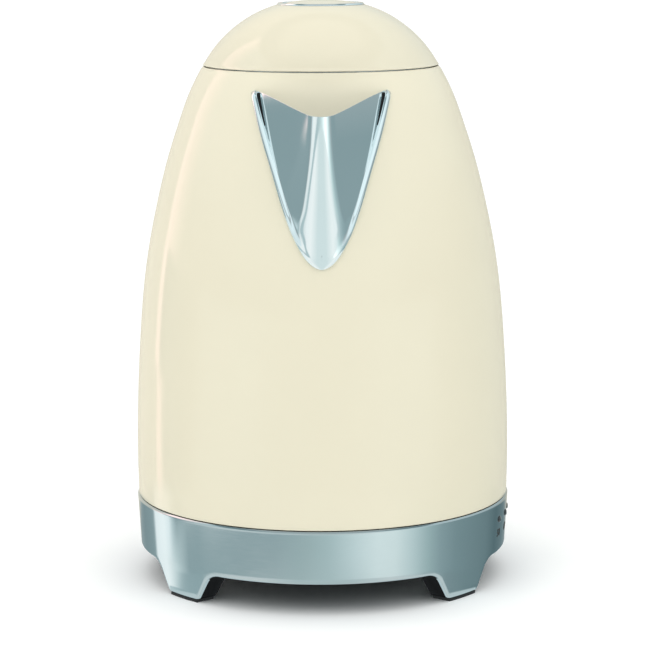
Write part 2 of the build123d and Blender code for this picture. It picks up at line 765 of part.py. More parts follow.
handle_path = FilletPolyline(
    (0, 69.95, HANDLE_TOP_Z), (0, 120, HANDLE_TOP_Z), (0, 135.5, 122), (0, 118, HANDLE_LOW_Z),
    (0, 89.95, HANDLE_LOW_Z), radius=[36, 120, 25],
)
grip_plane = Plane(origin=handle_path @ 0, x_dir=(1, 0, 0), z_dir=handle_path % 0)

with BuildPart() as handle_grip:
    # outer half of the oval bar
    with BuildSketch(grip_plane):
        Ellipse(HANDLE_W / 2, HANDLE_T / 2)
        with Locations((0, 10)):
            Rectangle(40, 20, mode=Mode.SUBTRACT)
    sweep(path=handle_path)
finish(handle_grip, "handle_grip")

with BuildPart() as handle_insert:
    # inner half, on the finger side
    with BuildSketch(grip_plane):
        Ellipse(HANDLE_W / 2 - 0.5, HANDLE_T / 2 - 0.4)
        with Locations((0, -9.95)):
            Rectangle(40, 20, mode=Mode.SUBTRACT)
    sweep(path=handle_path)
finish(handle_insert, "handle_insert")

with BuildPart() as handle_screws:
    for z, depth in ((HANDLE_TOP_Z, 66.0), (HANDLE_LOW_Z, 86.0)):
        seat = math.sqrt((skin(z, -SHELL_T)) ** 2 - 81) - 1.2 * (z > 100)
        with BuildSketch(Plane.XZ.offset(-seat + 1.9)):
            with Locations((-6, z), (6, z)):
                Circle(3.0)
        extrude(amount=-1.75)
        with BuildSketch(Plane.XZ.offset(-seat + 0.3)):
            with Locations((-6, z), (6, z)):
                Circle(1.6)
        extrude(amount=-(depth - seat + 0.3))
finish(handle_screws, "handle_screws")

# ------------------------------------------------------------------ lid hinge
with BuildPart() as hinge_bracket:
    # saddle on the rear of the shell
    add(band(204.0, 223.0, 0.1, 2.4))
    with BuildSketch(Plane.XZ):
        with Locations((0, 215.4)):
            RectangleRounded(20.8, 13.6, 2.0)
    extrude(amount=-100, mode=Mode.INTERSECT)

with BuildPart() as hinge_ears:
    # two ears up to the pin
    for x in (-10.4, 6.9):
        with BuildSketch(Plane.YZ.offset(x)):
            with BuildLine():
                Polyline((51.9, 225.0), (51.0, 219.0), (56.0, 212.0), (60.4, 211.0), (57.4, 225.2), close=True)
            make_face()
            with Locations((HINGE_Y, HINGE_Z)):
                Circle(3.3)
        extrude(amount=3.5)
    add(envelope(200.0, 223.2, 0.5), mode=Mode.SUBTRACT)
    with BuildSketch(Plane.YZ.offset(-12)):
        with Locations((HINGE_Y, HINGE_Z)):
            Circle(PIN_R + 0.02)
    extrude(amount=24, mode=Mode.SUBTRACT)

with BuildPart() as hinge_casting:
    add(hinge_bracket.part)
    add(hinge_ears.part)
finish(hinge_casting, "hinge_bracket")

with BuildPart() as lid_hinge_pin:
    with BuildSketch(Plane.YZ.offset(-10.6)):
        with Locations((HINGE_Y, HINGE_Z)):
            Circle(PIN_R)
    extrude(amount=21.2)
finish(lid_hinge_pin, "lid_hinge_pin")

# ================================================================== LID
cap_outer = skin_line(LID_SEAM_HIGH, 249.9, 0.0, 16, 1.8)
cap_inner = skin_line(LID_SEAM_HIGH, 248.85, -SHELL_T, 16, 1.8)
with BuildPart() as lid_cap:
    with BuildSketch(Plane.XZ):
        with BuildLine():
            Spline(*cap_outer)
            Line(cap_outer[-1], cap_inner[-1])
            Spline(*cap_inner[::-1])
            Line(cap_inner[0], cap_outer[0])
        make_face()
    revolve(axis=Axis.Z)
    # notch for the hinge arm
    with BuildSketch(Plane.XZ):
        with Locations((0, 224.5)):
            Rectangle(14.6, 9.0)
    extrude(amount=-70, mode=Mode.SUBTRACT)
finish(lid_cap, "lid_cap")
ring_r = min(cap_outer[-1][0], cap_inner[-1][0]) - 0.05

with BuildPart() as button_ring:
    with BuildSketch(Plane.XZ):
        with BuildLine():
            Polyline(
                (BUTTON_R + 0.35, 247.6), (ring_r, 247.6), (ring_r, 250.2), (ring_r - 0.6, 250.75),
                (BUTTON_R + 0.9, 250.75), (BUTTON_R + 0.35, 250.3), close=True,
            )
        make_face()
    revolve(axis=Axis.Z)
finish(button_ring, "button_ring")

with BuildPart() as lid_carrier:
    # plate under the cap: button well above, latch channel below
    with BuildSketch(Plane.XY.offset(229.0)):
        Circle(skin(231.0, -SHELL_T) - 0.5)
    extrude(amount=2.0)
    with BuildSketch(Plane.XY.offset(231.0)):
        Circle(ring_r - 0.4)
        Circle(BUTTON_R + 0.5, mode=Mode.SUBTRACT)
        Circle(5.4)
    extrude(amount=8.0)
    with BuildSketch(Plane.XY.offset(239.0)):
        Circle(ring_r - 0.4)
        Circle(BUTTON_R + 0.5, mode=Mode.SUBTRACT)
    extrude(amount=8.4)
    # ribs that guide the latch bolt
    with BuildSketch(Plane.XY.offset(218.4)):
        with Locations((-8.2, -23), (8.2, -23)):
            Rectangle(1.8, 30)
    extrude(amount=229.0 - 218.4)
    with BuildSketch(Plane.XY.offset(220)):
        Circle(3.2)
    extrude(amount=30, mode=Mode.SUBTRACT)
    with BuildSketch(Plane.XY.offset(220)):
        with PolarLocations(36, 4, start_angle=45):
            Circle(1.3)
    extrude(amount=30, mode=Mode.SUBTRACT)
finish(lid_carrier, "lid_carrier")

with BuildPart() as lid_inner:
    # closed underside: a shallow cup that fills the opening
    with BuildSketch(Plane.XZ):
        with BuildLine():
            Polyline(
                (0, 214.0), (42.0, 214.0), (43.0, 215.0), (43.0, 222.9), (49.3, 222.9), (49.3, 224.4),
                (41.4, 224.4), (41.4, 215.4), (0, 215.4), close=True,
            )
        make_face()
    revolve(axis=Axis.Z)
    with BuildSketch(Plane.XY.offset(215.4)):
        with PolarLocations(36, 4, start_angle=45):
            Circle(3.2)
    extrude(amount=228.95 - 215.4)
    with BuildSketch(Plane.XY.offset(213)):
        with PolarLocations(36, 4, start_angle=45):
            Circle(1.3)
    extrude(amount=20, mode=Mode.SUBTRACT)
    with BuildSketch(Plane.XY.offset(213)):
        with PolarLocations(36, 4, start_angle=45):
            Circle(2.6)
    extrude(amount=2.0, mode=Mode.SUBTRACT)
    # window for the latch bolt, and the post behind its spring
    with BuildSketch(Plane.XZ.offset(38)):
        with Locations((0, 219.4)):
            Rectangle(14.4, 3.2)
    extrude(amount=8, mode=Mode.SUBTRACT)
    with BuildSketch(Plane.XY.offset(215.4)):
        with Locations((0, 22.4)):
            Rectangle(8, 2.0)
    extrude(amount=6.6)
finish(lid_inner, "lid_inner")

with BuildPart() as lid_screws:
    with BuildSketch(Plane.XY.offset(213.9)):
        with PolarLocations(36, 4, start_angle=45):
            Circle(2.4)
    extrude(amount=1.1)
    with BuildSketch(Plane.XY.offset(215.0)):
        with PolarLocations(36, 4, start_angle=45):
            Circle(1.25)
    extrude(amount=15.6)
    with BuildSketch(Plane.XY.offset(213.9)):
        with PolarLocations(36, 4, start_angle=45):
            Rectangle(2.8, 0.7)
            Rectangle(0.7, 2.8)
    extrude(amount=0.6, mode=Mode.SUBTRACT)
finish(lid_screws, "lid_screws")

with BuildPart() as lid_seal:
    with BuildSketch(Plane.XZ):
        with BuildLine():
            Polyline(
                (43.03, 215.1), (43.6, 215.1), (43.6, 215.7), (44.1, 216.2), (43.6, 216.7),
                (43.6, 217.4), (43.03, 217.4), close=True,
            )
        make_face()
    revolve(axis=Axis.Z)
finish(lid_seal, "lid_seal")

with BuildPart() as lid_hinge_arm:
    with BuildSketch(Plane.YZ.offset(-6.6)):
        with BuildLine():
            Polyline((36, 225.4), (HINGE_Y, 225.4), (HINGE_Y, 228.2), (36, 228.9), close=True)
        make_face()
        with Locations((HINGE_Y, HINGE_Z)):
            Circle(3.0)
    extrude(amount=13.2)
    with BuildSketch(Plane.YZ.offset(-12)):
        with Locations((HINGE_Y, HINGE_Z)):
            Circle(PIN_R + 0.06)
    extrude(amount=24, mode=Mode.SUBTRACT)
finish(lid_hinge_arm, "lid_hinge_arm")

# ------------------------------------------------------------------ push button, spring and latch
with BuildPart() as lid_button:
    with BuildSketch(Plane.XZ):
        with BuildLine():
            ThreePointArc((0, 252.0), (8.1, 251.6), (BUTTON_R - 0.5, 250.45))
            Polyline((BUTTON_R - 0.5, 250.45), (BUTTON_R, 250.0), (BUTTON_R, 243.0), (14.4, 243.0),
                     (14.4, 248.6), (3.0, 248.6), (3.0, LATCH_Z + 3.0), (0.3, LATCH_Z + 0.3), (0, LATCH_Z + 0.3), (0, 252.0))
        make_face()
    revolve(axis=Axis.Z)
finish(lid_button, "lid_button")

with BuildPart() as button_spring:
    # compression spring around the stem, between the guide tube and the button
    with BuildLine() as coil:
        Helix(pitch=2.2, height=8.0, radius=4.7, center=(0, 0, 239.8))
    with BuildSketch(Plane(origin=coil.line @ 0, z_dir=coil.line % 0)):
        Circle(0.45)
    sweep(is_frenet=True)
finish(button_spring, "button_spring")

with BuildPart() as latch_bolt:
    # flat bolt with a 45 degree wedge face that the stem's cone pushes back
    with BuildSketch(Plane.XY.offset(LATCH_Z)):
        with Locations((0, -18.2)):
            Rectangle(13.4, 52.4)
    extrude(amount=2.4)
    with BuildSketch(Plane.YZ.offset(-3.4)):
        with BuildLine():
            Polyline((-6.5, LATCH_Z - 0.5), (-0.15, LATCH_Z - 0.5), (3.35, LATCH_Z + 3.0), (-6.5, LATCH_Z + 3.0), close=True)
        make_face()
    extrude(amount=6.8, mode=Mode.SUBTRACT)
    chamfer(latch_bolt.edges().group_by(Axis.Y)[0].filter_by(Axis.X).sort_by(Axis.Z)[0:1], length=1.2)
finish(latch_bolt, "latch_bolt")

with BuildPart() as latch_spring:
    with BuildLine() as latch_coil:
        Helix(pitch=1.9, height=12.4, radius=1.9, center=(0, 8.4, LATCH_Z + 1.6), direction=(0, 1, 0))
    with BuildSketch(Plane(origin=latch_coil.line @ 0, z_dir=latch_coil.line % 0)):
        Circle(0.3)
    sweep(is_frenet=True)
finish(latch_spring, "latch_spring")

print("nodes", len(os.listdir("parts")), "ring_r", round(ring_r, 3))
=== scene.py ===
"""Looks of the electric kettle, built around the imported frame. Millimetres in, metres out."""
import math

import bmesh
import bpy
import numpy as np
from mathutils import Matrix, Vector


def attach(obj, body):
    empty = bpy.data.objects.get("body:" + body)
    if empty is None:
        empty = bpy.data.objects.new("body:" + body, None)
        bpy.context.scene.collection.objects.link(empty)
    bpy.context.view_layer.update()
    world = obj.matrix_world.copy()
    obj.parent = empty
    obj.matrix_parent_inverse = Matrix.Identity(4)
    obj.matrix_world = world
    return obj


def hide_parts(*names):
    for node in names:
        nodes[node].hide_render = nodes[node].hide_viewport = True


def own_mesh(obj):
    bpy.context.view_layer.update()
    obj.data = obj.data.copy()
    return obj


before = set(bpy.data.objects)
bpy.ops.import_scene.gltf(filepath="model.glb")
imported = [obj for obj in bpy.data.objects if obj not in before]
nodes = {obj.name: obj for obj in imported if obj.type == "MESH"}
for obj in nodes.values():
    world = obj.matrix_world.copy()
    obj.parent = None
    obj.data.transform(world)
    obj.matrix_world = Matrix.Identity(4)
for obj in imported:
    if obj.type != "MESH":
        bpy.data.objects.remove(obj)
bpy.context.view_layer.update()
MM = 0.001

# ------------------------------------------------------------------ outline of jug and lid (same numbers as the CAD)
PROFILE = [
    (36.95, 81.89), (50.0, 82.04), (65.0, 81.75), (85.0, 81.07), (105.0, 79.95),
    (125.0, 78.32), (145.0, 75.61), (165.0, 71.59), (185.0, 66.51), (200.0, 61.65),
    (212.0, 57.21), (223.8, 51.21), (232.0, 45.74), (240.0, 37.75), (246.0, 28.69),
    (248.5, 23.05), (250.1, 18.30),
]


def cubic(points, n):
    """n points of a natural cubic spline through points, by chord length."""
    P = np.array(points, float)
    t = np.concatenate([[0], np.cumsum(np.linalg.norm(np.diff(P, axis=0), axis=1))])
    h = np.diff(t)
    m = len(P)
    A = np.eye(m)
    B = np.zeros_like(P)
    for i in range(1, m - 1):
        A[i, i - 1], A[i, i], A[i, i + 1] = h[i - 1], 2 * (h[i - 1] + h[i]), h[i]
        B[i] = 6 * ((P[i + 1] - P[i]) / h[i] - (P[i] - P[i - 1]) / h[i - 1])
    M = np.linalg.solve(A, B)
    out = []
    for s in np.linspace(0, t[-1], n):
        i = min(int(np.searchsorted(t, s, side="right")) - 1, m - 2)
        a, b = (t[i + 1] - s) / h[i], (s - t[i]) / h[i]
        out.append(a * P[i] + b * P[i + 1] + ((a ** 3 - a) * M[i] + (b ** 3 - b) * M[i + 1]) * h[i] ** 2 / 6)
    return np.array(out)


_base = cubic([(r, z) for z, r in PROFILE], 4001)
_tan = np.gradient(_base, axis=0)
_tan /= np.linalg.norm(_tan, axis=1)[:, None]


def skin(z, off=0.0):
    """Radius at height z of the outline moved off outwards."""
    rr = _base[:, 0] + _tan[:, 1] * off
    zz = _base[:, 1] - _tan[:, 0] * off
    return np.interp(z, zz, rr)


# ------------------------------------------------------------------ mesh helpers
def arc_corner(a, b, c, radius, n):
    """Points that round corner b of the path a-b-c."""
    a, b, c = (np.array(p, float) for p in (a, b, c))
    u, v = a - b, c - b
    lu, lv = np.linalg.norm(u), np.linalg.norm(v)
    u, v = u / lu, v / lv
    cosang = float(np.clip(np.dot(u, v), -1, 1))
    half = math.acos(cosang) / 2
    if radius <= 1e-6 or half > math.pi / 2 - 1e-3:
        return [tuple(b)]
    cut = min(radius / math.tan(half), lu * 0.49, lv * 0.49)
    r = cut * math.tan(half)
    centre = b + (u + v) / np.linalg.norm(u + v) * (r / math.sin(half))
    p0, p1 = b + u * cut - centre, b + v * cut - centre
    ang = math.acos(float(np.clip(np.dot(p0, p1) / (np.linalg.norm(p0) * np.linalg.norm(p1)), -1, 1)))
    out = []
    for i in range(n + 1):
        k = i / n
        w = (math.sin((1 - k) * ang) * p0 + math.sin(k * ang) * p1) / math.sin(ang) if ang > 1e-6 else p0
        out.append(tuple(centre + w))
    return out


def rounded(points, radii, n=4, closed=True):
    """The polygon or path with each corner rounded by its radius."""
    out, m = [], len(points)
    for i in range(m):
        if not closed and i in (0, m - 1):
            out.append(tuple(points[i]))
        else:
            out += arc_corner(points[i - 1], points[i], points[(i + 1) % m], radii[i], n)
    return out


def dense(points, step, closed=False):
    """Adds points so that no straight piece is longer than step."""
    out = []
    m = len(points)
    for i in range(m if closed else m - 1):
        a, b = np.array(points[i], float), np.array(points[(i + 1) % m], float)
        k = max(1, int(math.ceil(np.linalg.norm(b - a) / step)))
        out += [tuple(a + (b - a) * j / k) for j in range(k)]
    if not closed:
        out.append(tuple(points[-1]))
    return out


def mesh_object(name, verts, faces, angle=32.0, fix=True, merge=0.0):
    me = bpy.data.meshes.new(name)
    me.from_pydata([(x * MM, y * MM, z * MM) for x, y, z in verts], [], faces)
    me.validate()
    if fix or merge:
        bm = bmesh.new()
        bm.from_mesh(me)
        if merge:
            bmesh.ops.remove_doubles(bm, verts=bm.verts, dist=merge * MM)
            bmesh.ops.dissolve_degenerate(bm, edges=bm.edges, dist=merge * MM * 0.5)
        if fix:
            bmesh.ops.recalc_face_normals(bm, faces=bm.faces)
        bm.to_mesh(me)
        bm.free()
    o = bpy.data.objects.new(name, me)
    bpy.context.scene.collection.objects.link(o)
    soften(o, angle)
    return o


def soften(o, angle):
    o.data.shade_smooth()
    o.data.set_sharp_from_angle(angle=math.radians(angle))


def revolve(name, loop, segs=192, angle=32.0, closed=True, centre=(0.0, 0.0)):
    """Surface of revolution about Z of a loop of (r, z); points on the axis become poles."""
    verts, rings = [], []
    for r, z in loop:
        if r < 1e-5:
            rings.append([len(verts)])
            verts.append((centre[0], centre[1], z))
        else:
            rings.append(list(range(len(verts), len(verts) + segs)))
            for k in range(segs):
                a = 2 * math.pi * k / segs
                verts.append((centre[0] + r * math.cos(a), centre[1] + r * math.sin(a), z))
    faces = []
    pairs = list(zip(rings, rings[1:] + ([rings[0]] if closed else [])))
    for a, b in pairs:
        if len(a) == 1 and len(b) == 1:
            continue
        for k in range(segs):
            j = (k + 1) % segs
            if len(a) == 1:
                faces.append((a[0], b[j], b[k]))
            elif len(b) == 1:
                faces.append((a[k], a[j], b[0]))
            else:
                faces.append((a[k], a[j], b[j], b[k]))
    return mesh_object(name, verts, faces, angle)


def prism(name, outline, plane, a, b):
    """Straight block of a 2-D outline between depths a and b; plane maps (u, v, w) to a point."""
    m = len(outline)
    verts = [plane(u, v, a) for u, v in outline] + [plane(u, v, b) for u, v in outline]
    faces = [tuple(range(m)), tuple(range(2 * m - 1, m - 1, -1))]
    faces += [(i, i + m, (i + 1) % m + m, (i + 1) % m) for i in range(m)]
    return mesh_object(name, verts, faces)


def xz_plane(u, v, w):
    return (u, w, v)


def radial_plane(deg):
    a = math.radians(deg)

    def f(u, v, w):
        return (w * math.sin(a) + u * math.cos(a), -w * math.cos(a) + u * math.sin(a), v)
    return f


def circle(cx, cz, r, n=32):
    return [(cx + r * math.cos(2 * math.pi * i / n), cz + r * math.sin(2 * math.pi * i / n)) for i in range(n)]


def slot_outline(cx, cz, w, h, n=12):
    """Upright slot with round ends."""
    r, e = w / 2, h / 2 - w / 2
    top = [(cx + r * math.cos(math.pi * i / n), cz + e + r * math.sin(math.pi * i / n)) for i in range(n + 1)]
    low = [(cx - r * math.cos(math.pi * i / n), cz - e - r * math.sin(math.pi * i / n)) for i in range(n + 1)]
    return top + low


def boolean(o, cutters, operation="DIFFERENCE", angle=32.0):
    """Applies boolean cuts and removes the cutters."""
    for c in cutters:
        m = o.modifiers.new("cut", "BOOLEAN")
        m.object, m.operation, m.solver = c, operation, "EXACT"
    bpy.context.view_layer.update()
    dg = bpy.context.evaluated_depsgraph_get()
    me = bpy.data.meshes.new_from_object(o.evaluated_get(dg))
    o.modifiers.clear()
    old = o.data
    o.data = me
    bpy.data.meshes.remove(old)
    me.name = o.name
    for c in cutters:
        d = c.data
        bpy.data.objects.remove(c)
        bpy.data.meshes.remove(d)
    soften(o, angle)


# ------------------------------------------------------------------ materials
def nodes_of(name):
    m = bpy.data.materials.new(name)
    m.use_nodes = True
    t = m.node_tree
    return m, t, t.nodes["Principled BSDF"]


def link(t, a, b):
    t.links.new(a, b)


def noise(t, coord, scale, detail=3.0, stretch=(1, 1, 1), rough=0.5):
    mp = t.nodes.new("ShaderNodeMapping")
    mp.inputs["Scale"].default_value = stretch
    link(t, coord, mp.inputs["Vector"])
    n = t.nodes.new("ShaderNodeTexNoise")
    n.inputs["Scale"].default_value = scale
    n.inputs["Detail"].default_value = detail
    n.inputs["Roughness"].default_value = rough
    link(t, mp.outputs["Vector"], n.inputs["Vector"])
    return n


def ramp(t, fac, stops):
    r = t.nodes.new("ShaderNodeValToRGB")
    e = r.color_ramp.elements
    while len(e) < len(stops):
        e.new(0.5)
    for i, (p, c) in enumerate(stops):
        e[i].position = p
        e[i].color = (c[0], c[1], c[2], 1)
    link(t, fac, r.inputs["Fac"])
    return r


def spread(t, fac, lo, hi, a=0.3, b=0.7):
    m = t.nodes.new("ShaderNodeMapRange")
    m.inputs["From Min"].default_value, m.inputs["From Max"].default_value = a, b
    m.inputs["To Min"].default_value, m.inputs["To Max"].default_value = lo, hi
    link(t, fac, m.inputs["Value"])
    return m


def bump(t, b, fac, strength, dist):
    n = t.nodes.new("ShaderNodeBump")
    n.inputs["Strength"].default_value = strength
    n.inputs["Distance"].default_value = dist
    link(t, fac, n.inputs["Height"])
    link(t, n.outputs["Normal"], b.inputs["Normal"])
    return n


def shade(c, k):
    return tuple(min(1.0, max(0.0, x * k)) for x in c)


def surface(name, color, metallic=0.0, rough=(0.3, 0.4), vary=0.06, scale=60.0, grain=900.0, stretch=(1, 1, 1),
            depth=0.00002, strength=0.2, coat=0.0, coat_rough=0.05, ior=1.5, **extra):
    """Procedural material: large soft colour variation, fine grain in roughness and bump."""
    m, t, b = nodes_of(name)
    tc = t.nodes.new("ShaderNodeTexCoord").outputs["Object"]
    broad = noise(t, tc, scale, 3.0)
    fine = noise(t, tc, grain, 4.0, stretch)
    c = ramp(t, broad.outputs["Fac"], [(0.32, shade(color, 1 - vary)), (0.68, shade(color, 1 + vary))])
    link(t, c.outputs["Color"], b.inputs["Base Color"])
    r = spread(t, fine.outputs["Fac"], rough[0], rough[1])
    link(t, r.outputs["Result"], b.inputs["Roughness"])
    bump(t, b, fine.outputs["Fac"], strength, depth)
    b.inputs["Metallic"].default_value = metallic
    b.inputs["IOR"].default_value = ior
    b.inputs["Coat Weight"].default_value = coat
    b.inputs["Coat Roughness"].default_value = coat_rough
    for k, v in extra.items():
        b.inputs[k.replace("_", " ")].default_value = v
    return m


CREAM = (0.835, 0.772, 0.600)
mat = {}
# glossy baked enamel: a hint of waviness, as on sprayed and baked steel
mat["enamel"] = surface("cream_enamel", CREAM, rough=(0.055, 0.085), vary=0.006, scale=26.0, grain=330.0,
                        depth=0.000012, strength=0.10, ior=1.5)
# the lid's enamel is the body's cream made darker: painted shade that offsets the extra light falling on the
# upward-facing lid and button
mat["lid_enamel_painted_shade"] = surface("cream_lid_enamel_painted_shade", shade(CREAM, 0.945), rough=(0.055, 0.085), vary=0.006, scale=30.0, grain=330.0,
                            depth=0.000012, strength=0.10, ior=1.5)
# satin ring metal, lines run round the ring
mat["ring"] = surface("satin_ring_metal", (0.50, 0.565, 0.58), 1.0, rough=(0.07, 0.11), vary=0.015, scale=45.0,
                      grain=150.0, stretch=(1, 1, 26), depth=0.00001, strength=0.12)
mat["chrome"] = surface("polished_chrome", (0.83, 0.88, 0.89), 1.0, rough=(0.045, 0.075), vary=0.008, scale=40.0,
                        grain=260.0, depth=0.000006, strength=0.08)
mat["chrome_rim"] = mat["chrome"]
mat["steel"] = surface("satin_stainless", (0.60, 0.61, 0.61), 1.0, rough=(0.22, 0.34), vary=0.03, scale=30.0,
                       grain=220.0, stretch=(1, 1, 14), depth=0.00001, strength=0.2)
mat["zinc"] = surface("bright_fastener", (0.62, 0.62, 0.60), 1.0, rough=(0.25, 0.38), vary=0.05, scale=300.0,
                      grain=1200.0, depth=0.00001, strength=0.2)
mat["spring"] = surface("spring_wire", (0.48, 0.48, 0.48), 1.0, rough=(0.25, 0.4), vary=0.06, scale=400.0, grain=1500.0)
mat["aluminium"] = surface("rolled_aluminium", (0.76, 0.77, 0.78), 1.0, rough=(0.28, 0.4), vary=0.03, scale=50.0,
                           grain=200.0, stretch=(1, 18, 1))
mat["element"] = surface("heat_toned_sheath", (0.30, 0.27, 0.25), 0.9, rough=(0.4, 0.6), vary=0.2, scale=90.0, grain=700.0)
mat["black"] = surface("black_moulding", (0.018, 0.018, 0.020), rough=(0.42, 0.56), vary=0.12, scale=70.0, grain=1100.0,
                       depth=0.00004, strength=0.35)
# near-black matt moulding, darker and less glossy than the other black plastic: partly the real black plastic, partly
# painted shade under the base
mat["black_plastic_and_shade"] = surface("matt_black_plastic_and_shade", (0.006, 0.006, 0.007), rough=(0.72, 0.84), vary=0.2, scale=90.0, grain=1300.0,
                      depth=0.00005, strength=0.3, Specular_IOR_Level=0.12)
mat["grey"] = surface("grey_moulding", (0.30, 0.31, 0.32), rough=(0.40, 0.52), vary=0.05, scale=60.0, grain=1100.0,
                      depth=0.00003, strength=0.3)
mat["rubber"] = surface("black_rubber", (0.014, 0.014, 0.015), rough=(0.62, 0.78), vary=0.15, scale=90.0, grain=1400.0,
                        depth=0.00005, strength=0.4)
mat["board"] = surface("board_solder_mask", (0.02, 0.15, 0.06), rough=(0.3, 0.4), vary=0.25, scale=260.0, grain=900.0)
mat["relay"] = surface("relay_case", (0.04, 0.10, 0.30), rough=(0.28, 0.38), vary=0.05, scale=100.0, grain=900.0)
mat["lens"] = surface("smoked_lens", (0.010, 0.014, 0.017), rough=(0.04, 0.08), vary=0.2, scale=500.0, grain=900.0,
                      coat=1.0, coat_rough=0.03)
mat["seal"] = surface("white_silicone", (0.72, 0.72, 0.69), rough=(0.5, 0.65), vary=0.03, scale=80.0, grain=900.0)
mat["gasket"] = surface("grey_silicone", (0.20, 0.21, 0.22), rough=(0.5, 0.65), vary=0.05, scale=80.0, grain=900.0)
mat["grip"] = surface("soft_grip", (0.040, 0.041, 0.045), rough=(0.50, 0.64), vary=0.10, scale=120.0, grain=1300.0,
                      depth=0.00005, strength=0.4)
mat["print"] = surface("black_print", (0.010, 0.011, 0.012), rough=(0.35, 0.5), vary=0.2, scale=400.0, grain=1200.0)
mat["window"] = surface("clear_window", (0.80, 0.90, 0.92), rough=(0.03, 0.07), vary=0.02, scale=60.0, grain=500.0,
                        Transmission_Weight=0.92, Alpha=1.0)


def paint(o, *names):
    o.data.materials.clear()
    for n in names:
        o.data.materials.append(mat[n])


# the base bottom cover's near-black matt moulding is partly painted shade under the base
CAD_LOOK = {
    "foot_pads": "rubber", "base_top_plate": "black", "base_bottom_cover": "black_plastic_and_shade", "base_screws": "zinc",
    "cord_gland": "rubber", "base_connector": "black", "connector_shutter": "grey", "control_board": "board",
    "power_relay": "relay", "led_carrier": "black", "indicator_lenses": "lens", "start_lever": "chrome",
    "temperature_lever": "chrome", "lever_brackets": "zinc", "lever_pins": "zinc", "lever_switches": "grey",
    "collar": "grey", "heater_plate": "steel", "heat_spreader": "aluminium", "heating_element": "element",
    "thermostat_control": "grey", "temperature_probe": "steel", "probe_seal": "seal", "jug_bottom_cover": "black",
    "jug_screws": "zinc", "jug_connector": "black", "spout_gasket": "gasket", "level_window": "window",
    "window_gasket": "gasket", "handle_top_mount": "chrome", "handle_lower_mount": "chrome",
    "handle_screws": "zinc", "hinge_bracket": "chrome", "lid_hinge_pin": "zinc", "filter_frame": "grey",
    "filter_mesh": "steel", "lid_carrier": "grey", "lid_inner": "steel", "lid_screws": "zinc", "lid_seal": "seal",
    "lid_hinge_arm": "grey", "button_spring": "spring", "latch_bolt": "grey", "latch_spring": "spring",
    "body_shell": "enamel", "lid_cap": "lid_enamel_painted_shade", "base_ring": "ring", "spout": "chrome", "button_ring": "chrome",
    "lid_button": "lid_enamel_painted_shade", "handle_grip": "chrome", "handle_insert": "grip",
}
for n, look in CAD_LOOK.items():
    paint(nodes[n], look)


def place(o, body, slot_name, *replaced):
    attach(o, body)
    if replaced:
        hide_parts(*replaced)


# ------------------------------------------------------------------ enamelled shell, steel inside
def body_skin(z, off=0.0):
    v = min(max((74.0 - z) / 37.0, 0.0), 1.0)
    return float(skin(z, off)) - 0.42 * v * v * (3 - 2 * v)


def shell_profile():
    z0, z1, t, e = 36.72, 223.7, 1.0, 0.35
    out = []
    for k in range(6):                        # rolled lower edge
        a = math.pi / 2 * k / 5
        out.append((body_skin(z0) - t / 2 + (t / 2) * math.sin(a), z0 + e * (1 - math.cos(a))))
    for z in np.linspace(z0 + e, z1 - e, 150)[1:-1]:
        out.append((body_skin(z), float(z)))
    for k in range(6):                        # rolled upper edge
        a = math.pi / 2 * k / 5
        out.append((skin(z1, 0) - (t / 2) * (1 - math.cos(a)) - 0.02, z1 - e + e * math.sin(a)))
    inner = []
    for z in np.linspace(z1 - e, z0 + e, 60):
        inner.append((body_skin(z, -t), float(z)))
    return out + inner


shell = revolve("enamel_shell", shell_profile(), 256)
HOLE = [(0, 160.5), (4.2, 164.5), (8.0, 172.5), (12.2, 186.0), (15.6, 199.0)]


def v_list(pts, grow=0.0):
    right = []
    for i, (x, z) in enumerate(pts):
        a, b = pts[max(i - 1, 0)], pts[min(i + 1, len(pts) - 1)]
        tx, tz = (1, 0) if i == 0 else (b[0] - a[0], b[1] - a[1])
        n = math.hypot(tx, tz)
        right.append((x + grow * tz / n, z - grow * tx / n))
    return [(-x, z) for x, z in right[:0:-1]] + right


hole = [tuple(p) for p in cubic(v_list(HOLE), 41)]
hole += [(15.6 * math.cos(math.pi * k / 12), 199.0 + 4.0 * math.sin(math.pi * k / 12)) for k in range(1, 12)]
cutters = [
    prism("cut_hole", hole, xz_plane, -100, -20),
    prism("cut_slot", slot_outline(0, 112, 12, 76), xz_plane, 20, 100),
]
for z in (199.0, 50.0):
    for x in (-6, 6):
        cutters.append(prism("cut_screw", circle(x, z, 1.95, 20), xz_plane, 20, 100))
boolean(shell, cutters)
paint(shell, "enamel", "steel")
for p in shell.data.polygons:                 # the inside is bare steel
    c = p.center
    r = math.hypot(c.x, c.y)
    if r > 1e-6 and (p.normal.x * c.x + p.normal.y * c.y) / r < -0.3 and r * 1000 < body_skin(c.z * 1000) - 0.6:
        p.material_index = 1
place(shell, "jug", "body_enamel", "body_shell")


# ------------------------------------------------------------------ lid cap
def cap_profile():
    z0, z1, t = 224.1, 249.9, 1.0
    out = []
    for k in range(6):
        a = math.pi / 2 * k / 5
        out.append((float(skin(z0)) - 0.45 * (1 - math.sin(a)), z0 + 0.35 * (1 - math.cos(a))))
    s = np.linspace(0, 1, 60)
    zs = z0 + 0.35 + (z1 - z0 - 0.35) * (1 - (1 - s) ** 1.8)
    out += [(float(skin(z)), float(z)) for z in zs[1:]]
    inner_z = 224.1 + (248.85 - 224.1) * (1 - (1 - s[::-1][::2]) ** 1.8)
    out += [(float(skin(z, -t)), float(z)) for z in inner_z]
    return out


cap = revolve("lid_enamel_painted_shade", cap_profile(), 224)
notch = rounded([(-7.3, 219.0), (7.3, 219.0), (7.3, 229.0), (-7.3, 229.0)], [0, 0, 1.2, 1.2], 4)
boolean(cap, [prism("cut_notch", notch, xz_plane, 20, 70)])
paint(cap, "lid_enamel_painted_shade")
place(cap, "lid", "lid_enamel", "lid_cap")

